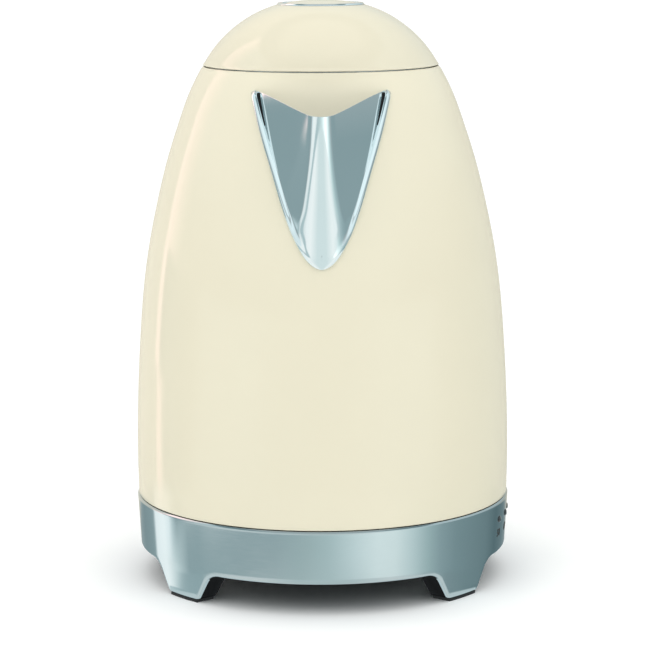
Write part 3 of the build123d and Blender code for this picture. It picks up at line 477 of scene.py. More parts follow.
# ring and button on top of the lid
ring_r = float(skin(249.9)) - 0.05
loop = rounded([(16.35, 247.6), (ring_r, 247.6), (ring_r, 250.1), (ring_r - 0.5, 250.75), (16.95, 250.75), (16.35, 250.25)],
               [0.1, 0.1, 0.35, 0.4, 0.4, 0.25], 5)
o = revolve("button_bezel", loop, 160)
paint(o, "chrome")
place(o, "lid", "chrome", "button_ring")

# thin black rubber ring in the seam under the bezel: painted shade of the gap between bezel and lid
o = revolve("bezel_gap_shade", rounded([(ring_r - 0.3, 249.2), (ring_r + 0.12, 249.2), (ring_r + 0.12, 249.93), (ring_r - 0.3, 249.98)],
                                   [0.05, 0.05, 0.08, 0.05], 3), 160)
paint(o, "rubber")
place(o, "lid", "rubber_black")

crown = [(0.0, 252.0)] + [(16.0 * k / 14, 252.0 - 1.62 * (k / 14) ** 2.2) for k in range(1, 14)]
crown += arc_corner((14.8, 250.60), (16.0, 250.3), (16.0, 243.0), 0.5, 5)
loop = crown + [(16.0, 243.0), (14.4, 243.0), (14.4, 248.6), (3.0, 248.6), (3.0, 221.2), (0.3, 218.5), (0.0, 218.5)]
o = revolve("push_button", loop, 128, closed=False)
paint(o, "lid_enamel_painted_shade")
place(o, "lid_button", "lid_enamel", "lid_button")

# ------------------------------------------------------------------ base ring with four feet
FEET = (49.2, 130.8, 229.2, 310.8)
edge = rounded([(0.0, 1.2), (9.99, 1.2), (17.3, 13.6), (36.0, 13.6)], [0, 2.6, 8.6, 0], 12, closed=False)
edge = dense(edge, 1.5)
edge = [p for p in edge if p[0] <= 23.2]


def wall_r(z):
    return float(np.interp(z, [1.2, 1.9, 14.0, 35.7, 36.4], [79.3, 79.5, 80.72, 82.0, 81.3]))


columns = []                                   # (azimuth outside, azimuth inside, z of the edge, normal in the wall)
for fi, k in enumerate(FEET):
    half = []
    for i, (x, z) in enumerate(edge):
        a, b = edge[max(i - 1, 0)], edge[min(i + 1, len(edge) - 1)]
        tx, tz = b[0] - a[0], b[1] - a[1]
        n = math.hypot(tx, tz)
        half.append((x, z, tz / n, -tx / n))
    full = [(-x, z, -nx, nz) for x, z, nx, nz in half[:0:-1]] + half
    for x, z, nx, nz in full:
        columns.append((k + math.degrees(math.asin(x / 80.6)), k + math.degrees(math.asin(x / 69.5)), z, nx, nz))
    nxt = FEET[(fi + 1) % 4] + (360 if fi == 3 else 0)
    a0, a1 = columns[-1][0], nxt - math.degrees(math.asin(edge[-1][0] / 80.6))
    b0, b1 = columns[-1][1], nxt - math.degrees(math.asin(edge[-1][0] / 69.5))
    m = max(2, int((a1 - a0) / 1.6))
    for j in range(1, m):
        columns.append((a0 + (a1 - a0) * j / m, b0 + (b1 - b0) * j / m, 13.6, 0.0, -1.0))

RHO = 0.8                                      # rounding of the lower edge
verts, count = [], None
for ao, ai, zl, nx, nz in columns:
    pts = []                                   # (azimuth, radius, z)
    top = rounded([(78.6, 36.4), (81.35, 36.4), (82.0, 35.75), (81.96, 35.0)], [0, 0.25, 0.25, 0], 4, closed=False)
    pts += [(ao, r, z) for r, z in top]
    ze = zl - nz * RHO
    ae = ao - math.degrees(nx * RHO / 80.6)
    for v in np.linspace(0, 1, 15)[1:]:
        z = 35.0 + (ze - 35.0) * v
        pts.append((ao + (ae - ao) * v ** 3, wall_r(z), z))
    for q in range(1, 7):
        ph = math.pi / 2 * q / 6
        off, dep = RHO * (1 - math.sin(ph)), RHO * (1 - math.cos(ph))
        z = zl - nz * off
        pts.append((ao - math.degrees(nx * off / 80.6), wall_r(z) - dep, z))
    pts += [(ao, 78.2, zl), (ao, 78.1, zl + 0.3), (ao, 78.1, max(zl + 0.6, 16.2)), (ao, 78.3, 20.0), (ao, 78.6, 26.0)]
    count = len(pts)
    for a, r, z in pts:
        s = math.radians(a)
        verts.append((r * math.sin(s), -r * math.cos(s), z))
nc = len(columns)
faces = []
for c in range(nc):
    d = (c + 1) % nc
    for r in range(count):
        q = (r + 1) % count
        faces.append((c * count + r, d * count + r, d * count + q, c * count + q))
ring = mesh_object("footed_ring", verts, faces, 38.0, merge=0.012)
cutters = []
for i in range(7):
    cutters.append(prism("cut_light", circle(0, 28.4, 1.5, 24), radial_plane(70.2 + 9 * i), 70, 90))
for a in (133.0, 146.0):
    cutters.append(prism("cut_lever", slot_outline(0, 24.5, 3.8, 8.6), radial_plane(a), 77, 90))
boolean(ring, cutters, angle=38.0)
paint(ring, "ring")
place(ring, "base", "ring_metal", "base_ring")

# black moulding behind the metal skin: it fills the feet and carries the floor of the base; its near-black matt finish
# is partly painted shade
verts, count = [], None
for ao, ai, zl, nx, nz in columns:
    gap = 0.45 if zl > 1.5 else 0.0
    sa, sz = -math.degrees(nx * 0.45 / 80.6), zl - nz * gap
    zi = min(sz, 13.56)
    pts = [(ao + sa, 78.05, 16.2), (ao + sa, 78.05, sz), (ao + sa + (ai - ao) * 0.5, 74.0, sz), (ai + sa, 69.9, zi), (ai + sa, 69.5, zi + 0.2),
           (ai + sa, 69.5, 13.9), (ai, 66.0, 13.9), (ai, 66.0, 16.2), (ai, 72.0, 16.2)]
    count = len(pts)
    for a, r, z in pts:
        w = math.radians(a)
        verts.append((r * math.sin(w), -r * math.cos(w), z))
faces = []
for c in range(nc):
    d = (c + 1) % nc
    for r in range(count):
        q = (r + 1) % count
        faces.append((c * count + r, d * count + r, d * count + q, c * count + q))
infill = mesh_object("foot_infill", verts, faces, 38.0, merge=0.012)
paint(infill, "black_plastic_and_shade")
place(infill, "base", "plastic_black", "base_ring")

# ------------------------------------------------------------------ domed lenses of the temperature lights
verts, faces = [], []
lens = [(0.0, 0.62)] + [(1.42 * math.sin(math.radians(a)), 0.62 * math.cos(math.radians(a)) ** 0.8) for a in range(12, 90, 12)]
lens += [(1.42, -0.1), (1.42, -7.0), (0.0, -7.0)]
for i in range(7):
    f = radial_plane(70.2 + 9 * i)
    r0 = wall_r(28.4) + 0.12
    start = len(verts)
    rings = []
    for rr, h in lens:
        if rr < 1e-6:
            rings.append([len(verts)])
            verts.append(f(0, 28.4, r0 + h))
        else:
            rings.append(list(range(len(verts), len(verts) + 32)))
            verts += [f(rr * math.cos(2 * math.pi * k / 32), 28.4 + rr * math.sin(2 * math.pi * k / 32), r0 + h) for k in range(32)]
    for a, b in zip(rings, rings[1:]):
        for k in range(32):
            j = (k + 1) % 32
            if len(a) == 1:
                faces.append((a[0], b[k], b[j]))
            elif len(b) == 1:
                faces.append((a[k], b[0], a[j]))
            else:
                faces.append((a[k], b[k], b[j], a[j]))
o = mesh_object("light_lenses", verts, faces, 40.0)
paint(o, "lens")
place(o, "base", "lens_dark", "indicator_lenses")

# ------------------------------------------------------------------ printed temperatures on the ring
labels = []
for i, text in enumerate(("50", "60", "70", "80", "90", "95", "100")):
    cu = bpy.data.curves.new("temperature_text", "FONT")
    cu.body, cu.size, cu.align_x, cu.align_y = text, 4.7 * MM, "CENTER", "CENTER"
    cu.resolution_u = 3
    cu.offset = 0.05 * MM
    ob = bpy.data.objects.new("temperature_text", cu)
    bpy.context.scene.collection.objects.link(ob)
    bpy.context.view_layer.update()
    me = bpy.data.meshes.new_from_object(ob.evaluated_get(bpy.context.evaluated_depsgraph_get()))
    bpy.data.objects.remove(ob)
    bm = bmesh.new()
    bm.from_mesh(me)
    bmesh.ops.triangulate(bm, faces=bm.faces)
    ext = bmesh.ops.extrude_face_region(bm, geom=bm.faces[:])
    for v in [g for g in ext["geom"] if isinstance(g, bmesh.types.BMVert)]:
        v.co.z += 1.0                          # marks the outer face until it is wrapped
    bmesh.ops.recalc_face_normals(bm, faces=bm.faces)
    centre = (max(v.co.x for v in bm.verts) + min(v.co.x for v in bm.verts)) / 2
    middle = (max(v.co.y for v in bm.verts) + min(v.co.y for v in bm.verts)) / 2
    for v in bm.verts:
        outer = v.co.z > 0.5
        z = 22.4 + (v.co.y - middle) / MM
        r = wall_r(z) + (0.075 if outer else -0.06)
        a = math.radians(70.2 + 9 * i) + ((v.co.x - centre) / MM) / 81.3
        v.co = Vector((r * math.sin(a) * MM, -r * math.cos(a) * MM, z * MM))
    bm.to_mesh(me)
    bm.free()
    labels.append(me)
bm = bmesh.new()
for me in labels:
    bm.from_mesh(me)
    bpy.data.meshes.remove(me)
me = bpy.data.meshes.new("temperature_numbers")
bm.to_mesh(me)
bm.free()
o = bpy.data.objects.new("temperature_numbers", me)
bpy.context.scene.collection.objects.link(o)
paint(o, "print")
place(o, "base", "lens_dark")

# ------------------------------------------------------------------ spout: rolled rim, two flat flanks and a round keel in one skin
V_OUT = [(0, 144.85), (3.27, 145.95), (6.54, 148.75), (9.56, 153.3), (15.06, 165.4),
         (20.6, 182.9), (26.24, 201.9), (29.0, 213.4)]
V_IN = [(0, 152.0), (5.6, 156.3), (9.3, 162.4), (15.06, 178.6), (20.93, 199.2), (25.1, 214.0)]
TIP = (27.35, 217.0)
right_out = cubic(v_list(V_OUT), 401)[200:]
right_in = cubic(v_list(V_IN), 401)[200:]


def table(points):
    """Smooth interpolation of (position, value) rows."""
    c = cubic(points, 400)
    return lambda v: float(np.interp(v, c[:, 0], c[:, 1]))


NOSE = table([(140, 75.3), (145, 76.5), (150, 77.6), (157, 78.9), (165, 80.7), (176, 83.3), (190, 86.3), (204, 88.7), (219, 90.8)])
KEEL = table([(142, 9.6), (150, 9.8), (158, 9.9), (162.4, 9.7), (170, 8.3), (178, 7.0), (190, 5.7), (204, 4.9), (219, 4.4)])
ROOT_X = table([(142, 6.3), (147, 7.2), (152, 8.1), (157, 9.0), (162.4, 10.3), (170, 13.1), (178.6, 15.95), (189, 19.1),
                (199.2, 22.05), (214, 26.1), (219, 27.4)])
ROOT_H = table([(142, -1.6), (147, 0.0), (152, 1.4), (157, 2.5), (163, 3.2), (172, 3.1), (180, 2.8), (194, 2.0), (204, 1.1), (212, 0.4), (219, 0.0)])
BLEND = table([(140, 3.0), (150, 2.8), (156, 2.2), (162, 1.2), (168, 0.6), (176, 0.35), (200, 0.3), (220, 0.3)])


def soft_max(a, b, k):
    h = min(1.0, max(0.0, 0.5 + 0.5 * (a - b) / k))
    return b * (1 - h) + a * h + k * h * (1 - h)


def section(z):
    """Keel radius, its tangent point and the root of the flank at height z."""
    n, xi = NOSE(z), ROOT_X(z)
    yr = math.sqrt(max(float(skin(z)) ** 2 - xi * xi, 0.0)) + ROOT_H(z)
    k = KEEL(z)
    full = ((n - yr) ** 2 + xi * xi) / (2 * (n - yr))       # arc from nose to root
    lo, hi = 0.3, full
    if k < xi * 0.999:
        for _ in range(40):
            r = 0.5 * (lo + hi)
            dx, dy = xi, yr - (n - r)
            d = math.hypot(dx, dy)
            if d <= r:
                hi = r
                continue
            ang = math.atan2(dy, dx) + math.acos(r / d)
            if r * math.cos(ang) < k:
                lo = r
            else:
                hi = r
        r = 0.5 * (lo + hi)
        dx, dy = xi, yr - (n - r)
        ang = math.atan2(dy, dx) + math.acos(min(1.0, r / math.hypot(dx, dy)))
        tx, ty = r * math.cos(ang), n - r + r * math.sin(ang)
    else:
        r, tx, ty = full, xi, yr
    slope_in = tx / math.sqrt(max(r * r - tx * tx, 1e-6))
    return n, r, tx, ty, xi, yr, slope_in


SECTIONS = {}


def beak_depth(x, z):
    """Distance of the beak's skin in front of the axis at (x, z): straight flanks that run into a round nose."""
    key = round(z, 3)
    if key not in SECTIONS:
        SECTIONS[key] = section(key)
    n, r, tx, ty, xi, yr, m = SECTIONS[key]
    ax = abs(x)
    if ax <= tx:
        return n - r + math.sqrt(max(r * r - ax * ax, 0))
    return ty - m * (ax - tx)


# outline of the rim on the right, up to the top of the tip, and the line where the flank starts
outer_line = [tuple(p) for p in right_out]
for k in range(1, 9):
    a = math.radians(-12 + 102 * k / 8)
    outer_line.append((27.1 + 1.95 * math.cos(a), 213.9 + 0.95 * math.sin(a) + 1.95 * math.sin(a) * 0.99))
outer_line = np.array(outer_line)
def along(line, n):
    cum = np.concatenate([[0], np.cumsum(np.linalg.norm(np.diff(line, axis=0), axis=1))])
    return lambda f: (float(np.interp(f * cum[-1], cum, line[:, 0])), float(np.interp(f * cum[-1], cum, line[:, 1]))), cum[-1]


outer_at, outer_len = along(outer_line, 0)


def inner_at(f):
    """Where the rim ends and the flank starts, straight in from outer_at(f)."""
    a, b = outer_at(max(f - 0.012, 0.0)), outer_at(min(f + 0.012, 0.955))
    if f > 0.943:
        a, b = outer_at(0.92), outer_at(0.943)
    tx, tz = b[0] - a[0], b[1] - a[1]
    if f < 0.012:
        tx, tz = b[0], (b[1] - 144.85) * f / 0.012
    n = math.hypot(tx, tz)
    w = float(np.interp(f, [0, 0.04, 0.10, 0.18, 0.3, 0.55, 1.0], [6.4, 5.9, 5.0, 4.3, 3.75, 3.35, 2.95]))
    base_f = min(f, 0.943)
    x, z = outer_at(base_f)
    x, z = x - w * tz / n, z + w * tx / n
    if f > 0.943:                                     # run on to the lip behind the tip
        k = (f - 0.943) / 0.057
        x, z = x + (26.25 - x) * k, z + (216.3 - z) * k
    return x, z




def lip_z(x):
    """Height of the pouring lip at x, seen from the front."""
    ax = abs(x)
    return 208.75 + float(np.interp(ax, [0, 2.5, 5.0, 9.0, 14.0, 20.0, 25.2, 27.1], [0.0, 0.06, 0.35, 1.65, 3.5, 5.7, 7.3, 7.75]))


S_ROWS = [0.5 * (1 - math.cos(math.pi * k / 24)) * 0.06 for k in range(25)]
S_ROWS += [0.06 + 0.91 * k / 92 for k in range(1, 93)]
S_ROWS += [0.978, 0.985, 0.9905, 0.995, 0.998, 1.0]
Q_RIM = [0.5 - 0.5 * math.cos(math.pi * k / 14) for k in range(15)]
Q_FLANK = [(k / 32) ** 1.5 for k in range(1, 33)]
verts, faces, grid = [], [], {}
nq = len(Q_RIM) + len(Q_FLANK)
for i, f in enumerate(S_ROWS):
    ox, oz = outer_at(f)
    ix, iz = inner_at(f)
    cz = 151.25 + (208.75 - 151.25) * (iz - 151.25) / (216.3 - 151.25)
    end = (1 - f) * outer_len
    cap = math.sqrt(max(1 - (1 - min(end / 2.6, 1.0)) ** 2, 0.0))
    high = float(np.interp(oz, [144.85, 147, 151, 158, 166, 176, 217], [0.0, 0.0, 0.3, 1.3, 2.2, 2.4, 2.4]))
    lift = max(0.0, (f - 0.5) / 0.5) ** 2
    for side in (1, -1):
        for j in range(nq):
            if j < len(Q_RIM):
                q = Q_RIM[j]
                x, z = ox + (ix - ox) * q, oz + (iz - oz) * q
                bead = 0.28 + high * cap * max(1 - abs(2 * q - 1) ** 2.2, 0.0) ** 0.5
                skirt = 0.0
            else:
                q = Q_FLANK[j - len(Q_RIM)]
                x, z = ix * (1 - q), iz + (cz - iz) * q
                z += (lip_z(x) - (216.3 + (208.75 - 216.3) * q)) * lift * min(1.0, q * 5)
                bead = 0.28 - 3.2 * q * max(ix, 0.5)
                skirt = min(1.0, q * ix / 1.2)
            shared = None
            if side < 0 and (j == nq - 1 or i == 0):
                shared = (i, 1, j)
            if i == 0 and j >= len(Q_RIM):
                shared = (0, 1, len(Q_RIM) - 1)
            if shared in grid:
                grid[(i, side, j)] = grid[shared]
                continue
            base = math.sqrt(max(float(skin(z)) ** 2 - x * x, 1.0))
            depth = soft_max(base + bead, beak_depth(x, z), BLEND(z))
            if j < len(Q_RIM):
                w = min(1.0, Q_RIM[j] / 0.35)
                depth = base + bead + (depth - base - bead) * math.sqrt(1 - (1 - w) ** 2)
            back = base - 0.05 + (depth - 1.3 - base + 0.05) * skirt
            grid[(i, side, j)] = (len(verts), len(verts) + 1)
            verts += [(side * x, -depth, z), (side * x, -min(back, depth - 0.3), z)]
last = len(S_ROWS) - 1


def quad(keys, layer, flip):
    ids = list(dict.fromkeys(grid[k][layer] for k in keys))
    if len(ids) >= 3:
        faces.append(tuple(ids[::-1] if flip else ids))


for side in (1, -1):
    for i in range(last):
        for j in range(nq - 1):
            keys = [(i, side, j), (i + 1, side, j), (i + 1, side, j + 1), (i, side, j + 1)]
            quad(keys, 0, side < 0)
            quad(keys, 1, side > 0)
        a, b = grid[(i, side, 0)], grid[(i + 1, side, 0)]
        ring_ids = (a[0], a[1], b[1], b[0])
        faces.append(ring_ids if side > 0 else ring_ids[::-1])
    for j in range(nq - 1):
        a, b = grid[(last, side, j)], grid[(last, side, j + 1)]
        ring_ids = (a[0], a[1], b[1], b[0])
        faces.append(ring_ids if side > 0 else ring_ids[::-1])
beak = mesh_object("beak_spout", verts, faces, 70.0)
sub = beak.modifiers.new("round", "SUBSURF")
sub.levels = sub.render_levels = 1
beak.data.shade_smooth()
paint(beak, "chrome")
place(beak, "jug", "chrome", "spout")


def groove_shade_strip(name, side):
    """Narrow black strip in the groove between rim and flank, widest at the tip: painted shade of the groove."""
    rows = []
    for k in range(25):
        f = 0.80 + 0.185 * k / 24
        ix, iz = inner_at(f)
        wide = 0.08 + 0.85 * (k / 24) ** 0.9
        rows.append([(ix + 0.1 - wide * q, iz) for q in (0.0, 0.34, 0.67, 1.0)])
    pts, fcs = [], []
    for row in rows:
        for layer in (0.0, -0.9):
            for x, z in row:
                base = math.sqrt(float(skin(z)) ** 2 - x * x)
                d = soft_max(base + 0.28, beak_depth(x, z), BLEND(z)) + 0.30 + layer
                pts.append((side * x, -d, z))
    for k in range(len(rows) - 1):
        a, b = k * 8, (k + 1) * 8
        for j in range(3):
            fcs += [(a + j, a + j + 1, b + j + 1, b + j), (a + 4 + j, b + 4 + j, b + 5 + j, a + 5 + j)]
        fcs += [(a, b, b + 4, a + 4), (a + 3, a + 7, b + 7, b + 3)]
    e = (len(rows) - 1) * 8
    fcs += [(0, 4, 5, 1), (1, 5, 6, 2), (2, 6, 7, 3), (e, e + 1, e + 5, e + 4), (e + 1, e + 2, e + 6, e + 5), (e + 2, e + 3, e + 7, e + 6)]
    o = mesh_object(name, pts, fcs, 50.0)
    paint(o, "rubber")
    place(o, "jug", "rubber_black")


# black strips in the crease near the spout's tips: painted shade of the groove
groove_shade_strip("spout_groove_shade_right", 1)
groove_shade_strip("spout_groove_shade_left", -1)


# ------------------------------------------------------------------ handle: oval bar in two halves
def handle_path():
    pts = [(69.95, 199.0), (120.0, 199.0), (135.5, 122.0), (118.0, 50.0), (89.95, 50.0)]
    return dense(rounded(pts, [0, 36, 120, 25, 0], 28, closed=False), 2.2)


def sweep(name, section, path, angle=40.0):
    """Sweeps a closed section (x, outward) along a path in the YZ plane, with flat ends."""
    verts, faces, m = [], [], len(section)
    for i, (y, z) in enumerate(path):
        a, b = path[max(i - 1, 0)], path[min(i + 1, len(path) - 1)]
        ty, tz = b[0] - a[0], b[1] - a[1]
        n = math.hypot(ty, tz)
        ny, nz = -tz / n, ty / n               # left of the way of travel: outwards on this path
        for x, h in section:
            verts.append((x, y + ny * h, z + nz * h))
    for i in range(len(path) - 1):
        for k in range(m):
            j = (k + 1) % m
            faces.append((i * m + k, i * m + j, (i + 1) * m + j, (i + 1) * m + k))
    faces.append(tuple(range(m)))
    faces.append(tuple((len(path) - 1) * m + k for k in range(m - 1, -1, -1)))
    return mesh_object(name, verts, faces, angle)


path = handle_path()
outer = [(13.0 * math.cos(math.pi * k / 40), 8.0 * math.sin(math.pi * k / 40)) for k in range(41)]
grip_loop = rounded([(12.96, 0.02)] + outer[1:-1] + [(-12.96, 0.02)], [0.4] + [0] * 39 + [0.4], 3)
o = sweep("handle_bar", grip_loop, path)
paint(o, "chrome")
place(o, "jug", "chrome", "handle_grip")
inner = [(12.5 * math.cos(math.pi * k / 40), -7.6 * math.sin(math.pi * k / 40)) for k in range(41)]
insert_loop = rounded([(12.46, -0.05)] + inner[1:-1] + [(-12.46, -0.05)], [0.4] + [0] * 39 + [0.4], 3)
o = sweep("handle_pad", insert_loop, path)
paint(o, "grip")
place(o, "jug", "grip_dark", "handle_insert")

# ------------------------------------------------------------------ springs of the button and the latch
def coil(name, centre, along_y, radius, wire, pitch, height):
    """A coil of round wire, rising from centre along Z or Y."""
    verts, faces, m = [], [], 12
    n = int(28 * height / pitch)
    tilt = math.atan2(pitch, 2 * math.pi * radius)
    for i in range(n + 1):
        a, h = 2 * math.pi * height / pitch * i / n, height * i / n
        for j in range(m):
            b = 2 * math.pi * j / m
            r, q = radius + wire * math.cos(b), wire * math.sin(b)
            u = r * math.cos(a) + q * math.sin(tilt) * math.sin(a)
            v = r * math.sin(a) - q * math.sin(tilt) * math.cos(a)
            w = h + q * math.cos(tilt)
            x, y, z = (u, w, -v) if along_y else (u, v, w)
            verts.append((centre[0] + x, centre[1] + y, centre[2] + z))
    for i in range(n):
        for k in range(m):
            j = (k + 1) % m
            faces.append((i * m + k, i * m + j, (i + 1) * m + j, (i + 1) * m + k))
    faces.append(tuple(range(m - 1, -1, -1)))
    faces.append(tuple(n * m + k for k in range(m)))
    return mesh_object(name, verts, faces, 40.0)


o = coil("button_coil", (0.0, 0.0, 239.8), False, 4.7, 0.45, 2.2, 8.0)
paint(o, "spring")
place(o, "lid", "spring_steel", "button_spring")
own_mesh(o)
o = coil("latch_coil", (0.0, 8.4, 219.8), True, 1.9, 0.3, 1.9, 12.4)
paint(o, "spring")
place(o, "lid", "spring_steel", "latch_spring")
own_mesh(o)

# ------------------------------------------------------------------ printed level marks beside the window
verts, faces = [], []


def mark(x0, x1, z, h=0.5):
    n = 8
    start = len(verts)
    for k in range(n + 1):
        x = x0 + (x1 - x0) * k / n
        for zz in (z - h / 2, z + h / 2):
            for off in (-0.05, 0.05):
                r = float(skin(zz, off))
                verts.append((x, math.sqrt(r * r - x * x), zz))
    for k in range(n):
        a = start + 4 * k
        b = a + 4
        faces.extend([(a + 1, a + 3, b + 3, b + 1), (a, b, b + 2, a + 2), (a, a + 1, b + 1, b), (a + 2, b + 2, b + 3, a + 3)])
    a, b = start, start + 4 * n
    faces.extend([(a, a + 2, a + 3, a + 1), (b, b + 1, b + 3, b + 2)])


for z, long_mark in ((83.7, 1), (96.4, 0), (109.0, 1), (122.3, 0), (135.5, 1), (146.8, 1)):
    mark(7.4, 10.4 if long_mark else 9.0, z)
o = mesh_object("level_marks", verts, faces, 40.0)
paint(o, "print")
place(o, "jug", "lens_dark")

labels = []
for text, level in (("0.5", 83.7), ("1.0", 109.0), ("1.5", 135.5), ("1.7", 146.8)):
    cu = bpy.data.curves.new("level_text", "FONT")
    cu.body, cu.size, cu.align_x, cu.align_y = text, 4.4 * MM, "CENTER", "CENTER"
    cu.resolution_u = 3
    cu.offset = 0.04 * MM
    ob = bpy.data.objects.new("level_text", cu)
    bpy.context.scene.collection.objects.link(ob)
    bpy.context.view_layer.update()
    me = bpy.data.meshes.new_from_object(ob.evaluated_get(bpy.context.evaluated_depsgraph_get()))
    bpy.data.objects.remove(ob)
    bm = bmesh.new()
    bm.from_mesh(me)
    bmesh.ops.triangulate(bm, faces=bm.faces)
    ext = bmesh.ops.extrude_face_region(bm, geom=bm.faces[:])
    for v in [g for g in ext["geom"] if isinstance(g, bmesh.types.BMVert)]:
        v.co.z += 1.0                          # marks the outer face until it is wrapped
    bmesh.ops.recalc_face_normals(bm, faces=bm.faces)
    centre = (max(v.co.x for v in bm.verts) + min(v.co.x for v in bm.verts)) / 2
    middle = (max(v.co.y for v in bm.verts) + min(v.co.y for v in bm.verts)) / 2
    for v in bm.verts:
        outer = v.co.z > 0.5
        z = level + (v.co.y - middle) / MM
        r = float(skin(z, 0.07 if outer else -0.06))
        x = 14.8 - (v.co.x - centre) / MM      # read from behind, so the text runs towards -X
        v.co = Vector((x * MM, math.sqrt(r * r - x * x) * MM, z * MM))
    bm.to_mesh(me)
    bm.free()
    labels.append(me)
bm = bmesh.new()
for me in labels:
    bm.from_mesh(me)
    bpy.data.meshes.remove(me)
me = bpy.data.meshes.new("level_numbers")
bm.to_mesh(me)
bm.free()
o = bpy.data.objects.new("level_numbers", me)
bpy.context.scene.collection.objects.link(o)
paint(o, "print")
place(o, "jug", "lens_dark")

# ------------------------------------------------------------------ floor, light and camera
scene = bpy.context.scene
scene.view_settings.view_transform = "Standard"
scene.view_settings.look = "None"
scene.view_settings.exposure = 0.0
scene.view_settings.gamma = 1.0

bm = bmesh.new()
bmesh.ops.create_grid(bm, x_segments=2, y_segments=2, size=40.0)
me = bpy.data.meshes.new("studio_floor")
bm.to_mesh(me)
bm.free()
floor = bpy.data.objects.new("studio_floor", me)
scene.collection.objects.link(floor)
m, t, b = nodes_of("pale_floor")
tc = t.nodes.new("ShaderNodeTexCoord").outputs["Object"]
nz_ = noise(t, tc, 3.0, 2.0)
c = ramp(t, nz_.outputs["Fac"], [(0.3, (0.972, 0.976, 0.976)), (0.7, (0.982, 0.984, 0.984))])
link(t, c.outputs["Color"], b.inputs["Base Color"])
b.inputs["Roughness"].default_value = 0.9
b.inputs["Specular IOR Level"].default_value = 0.0
floor.data.materials.append(m)
floor.visible_glossy = False

world = bpy.data.worlds.new("studio")
scene.world = world
world.use_nodes = True
wt = world.node_tree
for n in list(wt.nodes):
    wt.nodes.remove(n)
out = wt.nodes.new("ShaderNodeOutputWorld")
co = wt.nodes.new("ShaderNodeTexCoord").outputs["Generated"]
sep = wt.nodes.new("ShaderNodeSeparateXYZ")
wt.links.new(co, sep.inputs[0])


def wmath(op, a, b=None):
    n = wt.nodes.new("ShaderNodeMath")
    n.operation = op
    for i, v in enumerate((a, b)):
        if v is None:
            continue
        if isinstance(v, (int, float)):
            n.inputs[i].default_value = v
        else:
            wt.links.new(v, n.inputs[i])
    return n.outputs[0]


def wstep(v, lo, hi):
    n = wt.nodes.new("ShaderNodeMapRange")
    n.interpolation_type = "SMOOTHSTEP"
    n.inputs["From Min"].default_value, n.inputs["From Max"].default_value = lo, hi
    wt.links.new(v, n.inputs["Value"])
    return n.outputs["Result"]


def wmix(fac, a, b):
    n = wt.nodes.new("ShaderNodeMix")
    n.data_type = "RGBA"
    for sock, v in ((n.inputs["Factor"], fac), (n.inputs["A"], a), (n.inputs["B"], b)):
        pass
    ins = [s for s in n.inputs if s.type == "RGBA"]
    fs = [s for s in n.inputs if s.name == "Factor" and s.type == "VALUE"][0]
    for s, v in ((fs, fac), (ins[0], a), (ins[1], b)):
        if isinstance(v, tuple):
            s.default_value = (*v, 1)
        elif isinstance(v, (int, float)):
            s.default_value = v
        else:
            wt.links.new(v, s)
    return [s for s in n.outputs if s.type == "RGBA"][0]


negy = wmath("MULTIPLY", sep.outputs["Y"], -1.0)
az = wmath("ARCTAN2", sep.outputs["X"], negy)                 # 0 towards the camera, + to its right
pos = wmath("ADD", wmath("DIVIDE", az, 2 * math.pi), 0.5)


def grey(v, cool=1.0):
    return (v * (1 - 0.14 * cool), v, v * (1 + 0.03 * cool), 1)


# nine bands of the studio by height, each with its own run of brightness by azimuth
MID = [(-180, (0.70, 0.67, 0.58, 1)), (-150, (0.90, 0.86, 0.74, 1)), (-128.5, (0.80, 0.78, 0.70, 1)),
       (-127.2, (2.40, 1.65, 1.62, 1)), (-123.5, (2.10, 1.50, 1.48, 1)), (-121.5, (0.42, 0.50, 0.51, 1)), (-120.2, (0.27, 0.37, 0.39, 1)), (-96, (0.28, 0.38, 0.40, 1)), (-88, 0.40), (-78, 0.86), (-48, 1.0),
       (-28, 0.62), (0, 0.52), (18, 0.62), (40, 0.98), (68, 0.95), (80, 0.50), (94, (0.28, 0.38, 0.40, 1)), (114, (0.27, 0.37, 0.39, 1)),
       (128, 0.48), (155, (0.60, 0.60, 0.53, 1)), (180, (0.70, 0.67, 0.58, 1))]
RISE = [(-180, (0.70, 0.67, 0.58, 1)), (-150, (0.90, 0.86, 0.74, 1)), (-128.5, (0.80, 0.78, 0.70, 1)), (-127, (2.40, 1.65, 1.62, 1)),
        (-120, (2.00, 1.45, 1.42, 1)), (-113, (1.25, 1.05, 1.02, 1)), (-105, (0.45, 0.50, 0.50, 1)), (-60, 0.48), (0, 0.52), (18, 0.58),
        (36, 0.84), (55, 0.62), (72, 0.46), (96, 0.40), (128, 0.48), (155, (0.60, 0.60, 0.53, 1)), (180, (0.70, 0.67, 0.58, 1))]
DUSK = [(-180, (0.70, 0.67, 0.58, 1)), (-150, (0.90, 0.86, 0.74, 1)), (-125, (0.80, 0.78, 0.70, 1)), (-123.2, (2.15, 1.50, 1.48, 1)),
        (-119, (1.95, 1.42, 1.38, 1)), (-116, (0.75, 0.74, 0.72, 1)), (-113.5, (0.30, 0.40, 0.42, 1)), (-98, (0.28, 0.38, 0.40, 1)), (-90, 0.42), (-80, 0.86),
        (-48, 0.98), (-28, 0.62), (0, 0.52), (18, 0.62), (40, 0.98), (66, 0.92), (80, 0.48), (96, (0.28, 0.38, 0.40, 1)), (114, (0.27, 0.37, 0.39, 1)),
        (128, 0.48), (155, (0.60, 0.60, 0.53, 1)), (180, (0.70, 0.67, 0.58, 1))]
